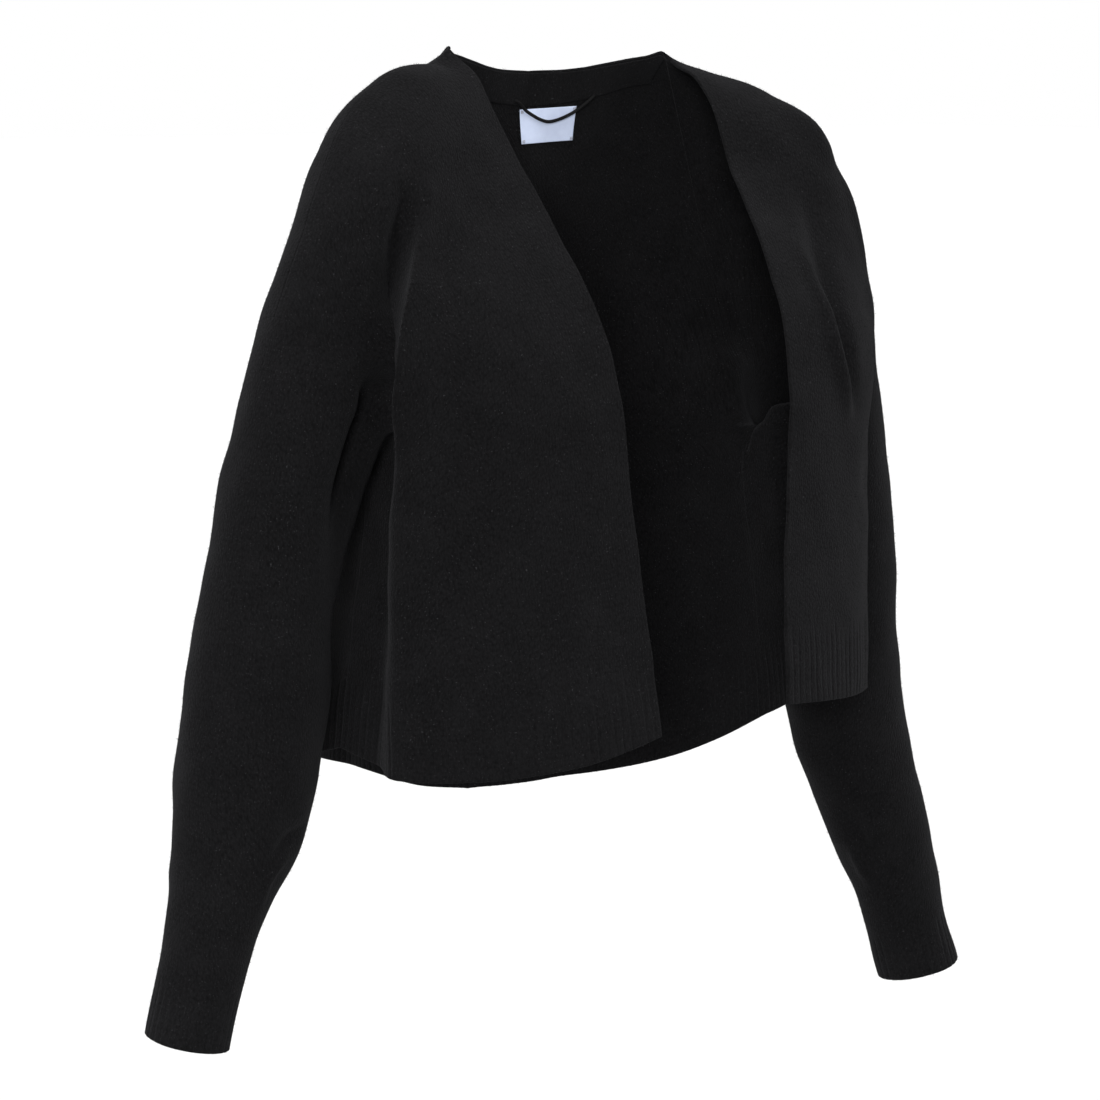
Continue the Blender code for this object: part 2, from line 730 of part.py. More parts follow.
def cloth_material(name, colour, roughness):
    material = bpy.data.materials.new(name)
    material.use_nodes = True
    shader = material.node_tree.nodes["Principled BSDF"]
    shader.inputs["Base Color"].default_value = (*colour, 1.0)
    shader.inputs["Roughness"].default_value = roughness
    return material


def wall_from(name, grid, normal, side, material, edges, around=False, relief=0.0, thin=None):
    """A wall whose outer points are the grid, raised by the relief, and whose inside is plain."""
    outer = trimmed(grid, edges)
    inner = outer - normal * CLOTH_THICKNESS
    outer = outer + normal * relief
    if thin:
        inner = inner[:, ::thin]
    flip = np.array([SIGN[side], 1.0, 1.0])
    return wall_object(name, outer * flip, inner * flip, material, around)


def rib_relief(count):
    """A ridge on every other column."""
    return (np.arange(count) % 2)[None, :, None] * RIB_HEIGHT


def build_front(half):
    columns = shares(FRONT_COLUMNS, SIDE_PULL)
    grid = front_grid(half, columns, shares(UPPER_ROWS), shares(LOWER_ROWS))
    normal = outward(half.panel_field, grid)
    grid = draped(grid, normal, half.side)
    name = "front_" + half.side
    wall_from(name, grid, normal, half.side, KNIT, ("top", "right", "bottom"))
    count = rib_columns(grid[-1])
    band = hem_grid(half, half.side, FRONT, shares(count), shares(1))
    band_normal = outward(half.torso, band)
    band = draped(band, band_normal, half.side)
    band_normal[0] = along_curve(grid[-1], shares(count), normal[-1])
    band[0] = along_curve(grid[-1], shares(count))
    wall_from(
        "hem_rib_" + name, band, band_normal, half.side, RIB, ("top", "right"),
        relief=rib_relief(count + 1), thin=RIB_THIN,
    )


def rib_columns(row):
    """Columns for the ribs along a row, in whole groups of those that share an inner column."""
    length = np.linalg.norm(np.diff(row, axis=0), axis=1).sum()
    return RIB_THIN * max(2, round(2.0 * length / RIB_PITCH / RIB_THIN))


def whole_back(right, left):
    """Both halves of a grid that starts at the centre back, joined into one from right to left."""
    right = right * np.array([-1.0, 1.0, 1.0])
    return np.concatenate([right[:, ::-1], left[:, 1:]], axis=1)


def build_back(halves):
    neck_us = shares(NECK_COLUMNS, NECK_PULL) * NECK_SHARE
    shoulder_us = shares(BACK_COLUMNS, SIDE_PULL)
    grids = {}
    normals = {}
    bands = {}
    band_normals = {}
    for side, half in halves.items():
        grid = back_half_grid(half, neck_us, shoulder_us, shares(UPPER_ROWS), shares(LOWER_ROWS))
        normals[side] = outward(half.panel_field, grid)
        grids[side] = draped(grid, normals[side], side)
        count = rib_columns(grid[-1])
        band = hem_grid(half, "back_" + side, BACK, shares(count), shares(1))
        band_normals[side] = outward(half.torso, band)
        bands[side] = draped(band, band_normals[side], side)
        band_normals[side][0] = along_curve(grids[side][-1], shares(count), normals[side][-1])
        bands[side][0] = along_curve(grids[side][-1], shares(count))
    panel = whole_back(grids["right"], grids["left"])
    panel_normals = whole_back(normals["right"], normals["left"])
    wall_from("back", panel, panel_normals, "left", KNIT, ("top", "left", "right", "bottom"))
    band = whole_back(bands["right"], bands["left"])
    band_normal = whole_back(band_normals["right"], band_normals["left"])
    wall_from(
        "hem_rib_back", band, band_normal, "left", RIB, ("top", "left", "right"),
        relief=rib_relief(band.shape[1]), thin=RIB_THIN,
    )
    build_neck_pieces(Inside(panel, panel_normals))


class Inside:
    """The inner face of the back panel, read between its grid's own points."""

    def __init__(self, grid, normal):
        self.face = grid - normal * CLOTH_THICKNESS
        self.normal = normal
        self.middle = grid.shape[1] // 2

    def row_at(self, level):
        levels = self.face[:, self.middle, 2]
        return np.interp(-np.asarray(level), -levels, np.arange(len(levels)))

    def column_at(self, out, row):
        """Column at a distance from the middle, measured along a row."""
        columns = np.arange(self.face.shape[1])
        line = self.between(self.face, np.full(len(columns), row), columns)
        return np.interp(out, line[:, 0], columns)

    def spot(self, out, level):
        """Row and column of the place at a distance from the middle and a level."""
        rows = np.arange(self.face.shape[0])
        column = float(self.middle)
        for _ in range(SPOT_ROUNDS):
            line = self.between(self.face, rows, np.full(len(rows), column))
            row = float(np.interp(-level, -line[:, 2], rows))
            column = float(self.column_at(out, row))
        return row, column

    def between(self, values, rows, columns):
        rows = np.asarray(rows, float)
        columns = np.asarray(columns, float)
        i = np.clip(rows.astype(int), 0, values.shape[0] - 2)
        j = np.clip(columns.astype(int), 0, values.shape[1] - 2)
        down = (rows - i)[..., None]
        over = (columns - j)[..., None]
        upper = values[i, j] * (1 - over) + values[i, j + 1] * over
        lower = values[i + 1, j] * (1 - over) + values[i + 1, j + 1] * over
        return upper * (1 - down) + lower * down

    def off(self, rows, columns, stand_off):
        """Points that stand off the inner face by a distance."""
        normal = self.between(self.normal, rows, columns)
        return self.between(self.face, rows, columns) - normal * np.asarray(stand_off)[..., None]

    def patch(self, name, rows, columns, thickness, material):
        """A thin piece that lies on the inner face, with its outer face a small gap away."""
        near = self.off(rows, columns, PATCH_GAP)
        far = self.off(rows, columns, PATCH_GAP + thickness)
        wall_object(name, near, far, material)


def stops(start, end):
    """Start, end and the whole numbers between them."""
    whole = np.arange(math.floor(start) + 1, math.ceil(end))
    return np.concatenate([[start], whole, [end]])


def build_neck_pieces(inside):
    down = lengths_along(inside.face[:, inside.middle])
    lower = np.interp(FACING_WIDTH, down, np.arange(len(down)))
    reach = NECK_COLUMNS - FACING_END_COLUMNS
    columns = stops(inside.middle - reach, inside.middle + reach)
    rows, columns = np.meshgrid(stops(FACING_INSET, lower), columns, indexing="ij")
    inside.patch("neck_facing", rows, columns, FACING_THICKNESS, FACING)
    inside.patch("label", *label_lines(inside), LABEL_THICKNESS, LABEL)
    build_loop(inside)


def label_lines(inside):
    """Rows and columns of the label's points: a rectangle laid on the inner face."""
    out, level = LABEL_CENTRE
    spots = (inside.spot(out, level), inside.spot(out + SPOT_NUDGE, level),
             inside.spot(out, level - SPOT_NUDGE))
    centre, beside, below = (inside.between(inside.face, *spot) for spot in spots)
    level_line = (beside - centre) / np.linalg.norm(beside - centre)
    slope = below - centre
    slope -= level_line * (slope @ level_line)
    slope /= np.linalg.norm(slope)
    turn = math.radians(LABEL_TURN)
    across = level_line * math.cos(turn) - slope * math.sin(turn)
    down = slope * math.cos(turn) + level_line * math.sin(turn)
    width, height = LABEL_SIZE
    rows = np.zeros((LABEL_LINES, LABEL_LINES))
    columns = np.zeros((LABEL_LINES, LABEL_LINES))
    shift = np.linspace(-0.5, 0.5, LABEL_LINES)
    for i in range(LABEL_LINES):
        for j in range(LABEL_LINES):
            place = centre + across * shift[j] * width + down * shift[i] * height
            rows[i, j], columns[i, j] = inside.spot(place[0], place[2])
    return rows, columns


def build_loop(inside):
    """The cord, read from a smooth curve through the loop's table."""
    table = np.array(LOOP_TABLE)
    route = curve_through(np.arange(len(table)), table, np.linspace(0, len(table) - 1, LOOP_POINTS))
    rows = inside.row_at(route[:, 1])
    columns = np.array([inside.column_at(out, row) for out, row in zip(route[:, 0], rows)])
    points = inside.off(rows, columns, route[:, 2])
    data = bpy.data.curves.new("hanging_loop", "CURVE")
    data.dimensions = "3D"
    data.bevel_depth = LOOP_DIAMETER / 2.0
    data.bevel_resolution = 2
    data.use_fill_caps = True
    spline = data.splines.new("POLY")
    spline.points.add(len(points) - 1)
    for spot, point in zip(spline.points, points):
        spot.co = (*point, 1.0)
    data.materials.append(CORD)
    COLLECTION.objects.link(bpy.data.objects.new("hanging_loop", data))


def build_sleeve(half):
    turns = np.linspace(0.0, 2 * math.pi, SLEEVE_COLUMNS + 1)[:-1]
    cuff_start = 1.0 - CUFF_SHARE
    ts = shares(SLEEVE_ROWS) * cuff_start
    grid = sleeve_grid(half, turns, ts)
    normal = sleeve_normals(half, grid, ts)
    grid = draped(grid, normal, half.side)
    grid[0] = eased_under_arm(grid, turns)
    wall_from("sleeve_" + half.side, grid, normal, half.side, KNIT, ("top", "bottom"), around=True)
    count = rib_columns(np.concatenate([grid[-1], grid[-1][:1]]))
    turns = np.linspace(0.0, 2 * math.pi, count + 1)[:-1]
    ts = np.array([cuff_start, 1.0])
    grid = sleeve_grid(half, turns, ts)
    normal = sleeve_normals(half, grid, ts)
    wall_from(
        "cuff_" + half.side, grid, normal, half.side, RIB, ("top",), around=True,
        relief=rib_relief(count), thin=RIB_THIN,
    )


def eased_under_arm(grid, turns):
    """The sleeve's first ring, drawn down at the underarm point, where the walls meet at an angle."""
    down = grid[1] - grid[0]
    down /= np.linalg.norm(down, axis=-1, keepdims=True)
    ease = UNDERARM_EASE * np.exp(-(((turns - math.pi) / UNDERARM_EASE_TURN) ** 2))
    return grid[0] + down * ease[:, None]


def sleeve_normals(half, grid, ts):
    """The arm's own directions, turning into the joined form's on the armhole seam."""
    arm = outward(half.arm.field, grid)
    joined = outward(half.field, grid[:1])
    near = 1.0 - smoothstep(ts / SEAM_OFFSET_FADE)
    normal = arm + (joined - arm) * near[:, None, None]
    return normal / np.linalg.norm(normal, axis=-1, keepdims=True)


def clear_scene():
    for item in list(bpy.data.objects):
        bpy.data.objects.remove(item, do_unlink=True)


clear_scene()
COLLECTION = bpy.data.collections.new("Cardigan")
bpy.context.scene.collection.children.link(COLLECTION)
KNIT = cloth_material("black_knit", *KNIT_LOOK)
RIB = cloth_material("black_rib", *KNIT_LOOK)
FACING = cloth_material("black_facing", *FACING_LOOK)
LABEL = cloth_material("white_label", *LABEL_LOOK)
CORD = cloth_material("black_cord", *CORD_LOOK)
HALVES = {side: Half(side) for side in SIGN}
for one_half in HALVES.values():
    build_front(one_half)
    build_sleeve(one_half)
build_back(HALVES)
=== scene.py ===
import math

import bpy
import numpy as np
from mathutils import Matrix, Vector


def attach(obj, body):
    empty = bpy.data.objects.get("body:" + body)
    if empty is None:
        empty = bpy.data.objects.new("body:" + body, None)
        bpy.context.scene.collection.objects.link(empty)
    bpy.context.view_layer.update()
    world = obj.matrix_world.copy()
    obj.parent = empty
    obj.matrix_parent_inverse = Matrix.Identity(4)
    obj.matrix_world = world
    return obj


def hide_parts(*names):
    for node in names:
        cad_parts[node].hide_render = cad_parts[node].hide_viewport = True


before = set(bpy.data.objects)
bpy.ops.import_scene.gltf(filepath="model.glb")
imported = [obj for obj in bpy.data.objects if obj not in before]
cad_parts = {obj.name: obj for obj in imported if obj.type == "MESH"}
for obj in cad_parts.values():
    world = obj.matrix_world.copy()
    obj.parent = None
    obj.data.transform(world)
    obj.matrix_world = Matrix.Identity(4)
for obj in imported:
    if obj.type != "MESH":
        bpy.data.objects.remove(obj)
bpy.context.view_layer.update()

# Camera, as fitted to the photograph, which is 1100 pixels wide
PHOTO_PIXELS = 1100.0
FOCAL_PIXELS = 4420.0
SENSOR_WIDTH = 36.0
CAMERA_PLACE = (-2.1855, -2.6046, 0.0)
CAMERA_TURN = 39.85
CAMERA_DOWN = 6.43

# Driving dimensions of the cloth, as in the CAD part
CLOTH_THICKNESS = 0.0024
PATCH_GAP = 0.0006
RIB_PITCH = 0.0072
HEM_BAND = 0.060
FACING_WIDTH = 0.028
FACING_THICKNESS = 0.0012
LABEL_SIZE = (0.052, 0.027)
LABEL_THICKNESS = 0.0006
LOOP_DIAMETER = 0.0026

# Driving dimensions of the form, as in the CAD part
NECK_HALF_WIDTH = 0.110
BACK_NECK_DROP = 0.014
SHOULDER_BLEND = 0.036
BACK_BLEND = 0.075
BACK_BLEND_FADE = 0.035
UNDERARM_BLEND = 0.010
UNDERARM_BLEND_LEVELS = (-0.225, -0.275)
SIDE_FOLD_ANGLES = (11.0, 21.5)
ARMHOLE_TOP_LEVEL = -0.210
UNDERARM_SEARCH = (-0.20, -0.36)
UNDERARM_OUT = (0.17, 0.24)
UNDERARM_FADE = 0.030
UNDERARM_DROP = 0.009
UNDERARM_RISE = 0.014
SEAM_OFFSET_FADE = 0.14
CORNER_EXTRA = {"right": 0.0, "left": 0.010}
CORNER_EXTRA_LEVEL = 0.20
# Share of a row, from its inner end, where it starts to lean towards the side seam
UNDERARM_SHARE = 0.75
# First share of the front edge below the neck point, and first station of the shoulder's ridge
EDGE_FIRST_SHARE = 0.02
RIDGE_FIRST_STATION = 0.6
BACK_SQUARENESS = 2.3

# Torso sections. Columns: level, half width at the side, half width at the front corner,
# depth forwards, depth backwards, squareness of the front
TORSO_TABLE = (
    (0.040, 0.080, 0.080, 0.004, 0.010, 2.0),
    (0.000, 0.106, 0.106, 0.008, 0.017, 2.0),
    (-0.030, 0.134, 0.136, 0.026, 0.024, 2.1),
    (-0.060, 0.154, 0.162, 0.048, 0.036, 2.4),
    (-0.100, 0.170, 0.202, 0.079, 0.058, 2.8),
    (-0.150, 0.182, 0.234, 0.110, 0.081, 3.3),
    (-0.200, 0.190, 0.248, 0.136, 0.096, 3.5),
    (-0.250, 0.193, 0.250, 0.150, 0.105, 3.2),
    (-0.300, 0.190, 0.250, 0.154, 0.111, 2.95),
    (-0.350, 0.193, 0.250, 0.157, 0.113, 2.85),
    (-0.420, 0.203, 0.250, 0.162, 0.114, 2.75),
    (-0.520, 0.217, 0.252, 0.175, 0.116, 2.45),
    (-0.640, 0.222, 0.256, 0.180, 0.118, 2.4),
)
# Line down the middle of the shoulder and arm. Columns: outwards, forwards (-Y), level,
# half width across the arm, half depth front to back
ARM_TABLE = (
    (0.040, 0.004, -0.054, 0.044, 0.026),
    (0.088, 0.000, -0.061, 0.054, 0.036),
    (0.143, -0.010, -0.077, 0.060, 0.051),
    (0.180, -0.019, -0.096, 0.060, 0.056),
    (0.199, -0.025, -0.124, 0.060, 0.058),
    (0.214, -0.027, -0.160, 0.060, 0.058),
    (0.231, -0.021, -0.206, 0.059, 0.057),
    (0.249, -0.014, -0.264, 0.056, 0.054),
)
# Below the armhole each arm has rows of its own, because the sleeves are pushed up unevenly
LOWER_ARM = {
    "right": (
        (0.268, -0.004, -0.336, 0.051, 0.052),
        (0.281, 0.003, -0.404, 0.048, 0.053),
        (0.286, 0.008, -0.470, 0.052, 0.056),
        (0.295, 0.010, -0.525, 0.052, 0.055),
        (0.307, 0.006, -0.572, 0.047, 0.050),
        (0.324, 0.002, -0.610, 0.037, 0.041),
        (0.345, -0.005, -0.658, 0.031, 0.034),
        (0.363, -0.010, -0.709, 0.031, 0.033),
        (0.374, -0.013, -0.745, 0.031, 0.033),
    ),
    "left": (
        (0.271, -0.007, -0.336, 0.052, 0.053),
        (0.286, -0.002, -0.404, 0.050, 0.054),
        (0.293, 0.002, -0.470, 0.050, 0.053),
        (0.309, 0.003, -0.540, 0.047, 0.049),
        (0.325, 0.002, -0.590, 0.044, 0.046),
        (0.341, -0.001, -0.635, 0.041, 0.043),
        (0.357, -0.005, -0.680, 0.036, 0.037),
        (0.370, -0.008, -0.724, 0.033, 0.035),
        (0.384, -0.013, -0.775, 0.033, 0.034),
    ),
}
# Front edge. Columns: level, distance from the middle
EDGE_TABLE = {
    "right": ((0.0, 0.104), (-0.05, 0.097), (-0.10, 0.090), (-0.16, 0.080), (-0.232, 0.070),
              (-0.31, 0.063), (-0.43, 0.051), (-0.51, 0.045)),
    "left": ((0.0, 0.112), (-0.05, 0.117), (-0.10, 0.115), (-0.16, 0.112), (-0.23, 0.105),
             (-0.31, 0.099), (-0.42, 0.090), (-0.50, 0.085)),
}
# Hem at shares of the way round, where the front edge or centre back is 0 and the side seam is 1.
# Columns: share, level
HEM_TABLE = {
    "right": ((0.0, -0.504), (0.3, -0.522), (0.7, -0.529), (1.0, -0.516)),
    "left": ((0.0, -0.493), (0.3, -0.497), (0.7, -0.504), (1.0, -0.532)),
    "back_right": ((0.0, -0.585), (0.3, -0.575), (0.6, -0.549), (1.0, -0.516)),
    "back_left": ((0.0, -0.585), (0.4, -0.585), (0.75, -0.572), (1.0, -0.532)),
}
CUFF_LEVEL = {"right": -0.715, "left": -0.760}
CUFF_TILT = {"right": 0.20, "left": 0.02}
CUFF_TILT_TURN = 55.0
CUFF_TILT_START = 0.8
CUFF_TILT_LENGTH = 0.2

# Facing: its upper line in rows below the neck edge, and its ends in columns short of the neck point
FACING_INSET = 0.06
FACING_END_COLUMNS = 1
# Label: its middle (out, level), its turn in degrees, and how far its lower edge stands off
LABEL_CENTRE = (0.0233, -0.0561)
LABEL_TURN = 3.0
LABEL_STAND_OFF = 0.0015

# Columns and rows of the CAD part's panels, and the shares that they take
FRONT_COLUMNS = 18
NECK_COLUMNS = 5
BACK_COLUMNS = 12
NECK_SHARE = 0.34
UPPER_ROWS = 14
LOWER_ROWS = 7
CUFF_SHARE = 0.10
SIGN = {"right": -1.0, "left": 1.0}
FRONT = -1.0
BACK = 1.0

# How closely points are found on the form
SURFACE_NUDGE = 0.0004
SETTLE_PASSES = 4
SETTLE_ROUNDS = 8
FLATTEST_SLOPE = 1e-6
LONGEST_MOVE = 0.02
RAY_REACH = 0.30
RAY_STEPS = 150
RAY_HALVINGS = 22
UNDERARM_RAYS = 61
UNDERARM_MARGIN = 0.001
STATION_NUDGE = 0.05
SPOT_ROUNDS = 6
SPOT_NUDGE = 0.002
TINY = 1e-9

# The hanging loop's route, with its ends tucked into the facing
LOOP_ROUTE = (
    (-0.0099, 0.0440, -0.0372), (-0.0085, 0.0426, -0.0381), (-0.0069, 0.0420, -0.0393),
    (-0.0033, 0.0428, -0.0421), (0.0003, 0.0436, -0.0449), (0.0039, 0.0435, -0.0471),
    (0.0078, 0.0433, -0.0491), (0.0118, 0.0430, -0.0511), (0.0157, 0.0428, -0.0525),
    (0.0191, 0.0426, -0.0534), (0.0224, 0.0423, -0.0538), (0.0264, 0.0419, -0.0534),
    (0.0317, 0.0411, -0.0521), (0.0377, 0.0400, -0.0499), (0.0436, 0.0388, -0.0472),
    (0.0491, 0.0373, -0.0438), (0.0545, 0.0357, -0.0398), (0.0598, 0.0340, -0.0353),
    (0.0616, 0.0343, -0.0336), (0.0630, 0.0362, -0.0322),
)
LOOP_STEPS = 4
LOOP_ROUNDNESS = 4

# How much finer than the CAD grid each panel is, how its columns are spaced, and the rows and
# columns of the other pieces
FINER = 6
FINE_ROUNDS = 3
EVEN_PASSES = 16
SIDE_PULL = 0.25
NECK_PULL = 0.5
SLEEVE_ROWS = 120
PATCH_LINES = 25
FACING_LINES = 61
RIB_STEPS = 8
RIB_ROWS = 16
CUFF_ROWS = 14

# Rounding of free edges and seams: lines are added at these distances from the edge
EDGE_LINES = (0.0, 0.00015, 0.00045, 0.0008, 0.0012)
EDGE_ROUND = 0.0012
SEAM_LINES = (-0.0005, 0.0004, 0.0012)
SEAM_ROUND = 0.0012
SEAM_PINCH = 0.55
WIDEST_SHARE = 0.9
SHARP_ANGLE = 55.0

# Places in a piece of cloth's array: point, normal, knit coordinates and half thickness
POINT = slice(0, 3)
NORMAL = slice(3, 6)
KNIT_UV = slice(6, 8)
HALF_THICKNESS = 8
EDGES = {"top": np.s_[0], "bottom": np.s_[-1], "left": np.s_[:, 0], "right": np.s_[:, -1]}

# Ribs: each groove's depth and width, and how far below the band's top it starts to show
RIB_GROOVE = 0.00065
GROOVE_SHARES = (0.35, 1.15)
GROOVE_WIDTH = 0.0011
RIB_START = (-0.004, 0.009)
RIB_FADE = 0.010

# Slight unevenness of the cloth: wavelengths and the height of all its waves together
LUMP_WAVES = 40
LUMP_LENGTHS = (0.030, 0.110)
LUMP_HEIGHT = 0.0008

# Loose fibres of the felted surface
FIBRES_PER_AREA = 230000.0
FIBRE_LENGTHS = (0.0010, 0.0032)
FIBRE_SHORTENING = (0.4, 1.0)
FIBRE_WIDTH = 0.00020
FIBRE_LEAN = 0.75
FIBRE_ROOT = 0.0002

# Stitches on the label's corners. The first one's place and each one's reach are across and down
STITCHES = 3
STITCH_PLACE = (0.0008, 0.0006)
STITCH_PITCH = 0.0009
STITCH_REACH = (0.0003, 0.0026)
STITCH_RINGS = 5
STITCH_SIDES = 6
STITCH_RADIUS = 0.00022
STITCH_RISE = 0.00035

# Dark and light tones of the wool, thread and cord, and how a grey is tinted
WOOL_TONES = (0.0024, 0.0078)
FACING_TONES = (0.0024, 0.0070)
FIBRE_TONES = (0.004, 0.018)
THREAD_TONES = (0.25, 0.45)
CORD_TONES = (0.0025, 0.0065)
GREY_GREEN = 0.985
GREY_BLUE = 1.06
# Felted knit: stitches in a metre each way, how much noise bends them, and scales of its noises
STITCHES_PER_METRE = (430.0, 290.0, 1.0)
STITCH_BEND = (0.0018, 0.0012)
BEND_SCALE = 260.0
FINE_SCALE = 1500.0
MATTED_SCALE = 900.0
BROAD_SCALE = 34.0
# How strongly the stitches show on the ribs and the facing, where they show fully on the knit
RIB_STITCH = 0.8
FACING_STITCH = 0.6
# The pale specks' edges on their noise, their colour, and how much of it shows
SPECK_EDGES = (0.70, 0.78)
SPECK_COLOUR = 0.06
SPECK_SHARE = 0.5
# Bluish white satin, dark and light, its threads in both directions, and its unevenness
LABEL_COLOURS = ((0.53, 0.60, 0.79), (0.68, 0.76, 0.95))
WARP_SCALE = 520.0
WEFT_SCALE = 300.0
SATIN_SCALE = 120.0
# The cord's strands and its fine fibres, and how the loose fibres differ along the cloth
STRAND_SCALE = 260.0
CORD_SCALE = 1400.0
FIBRE_SCALE = 700.0
# The pale floor's two tones
FLOOR_TONES = (0.93, 0.96)
FLOOR_SCALE = 3.0

# Floor and lights. Columns: name, direction in degrees from +Y towards -X, height in degrees, strength,
# and the light's own width in degrees
FLOOR_SIZE = 60.0
FLOOR_LEVEL = -1.45
WORLD_SEEN = 1.0
WORLD_LIGHT = 0.14
LIGHTS = (
    ("front_light", 137.0, 9.0, 2.4, 16.0),
    ("near_front_light", 110.0, 16.0, 0.7, 24.0),
    ("near_side_light", 75.0, 22.0, 0.6, 44.0),
    ("far_side_light", 222.0, 22.0, 1.0, 44.0),
    ("top_light", 140.0, 76.0, 2.0, 60.0),
)

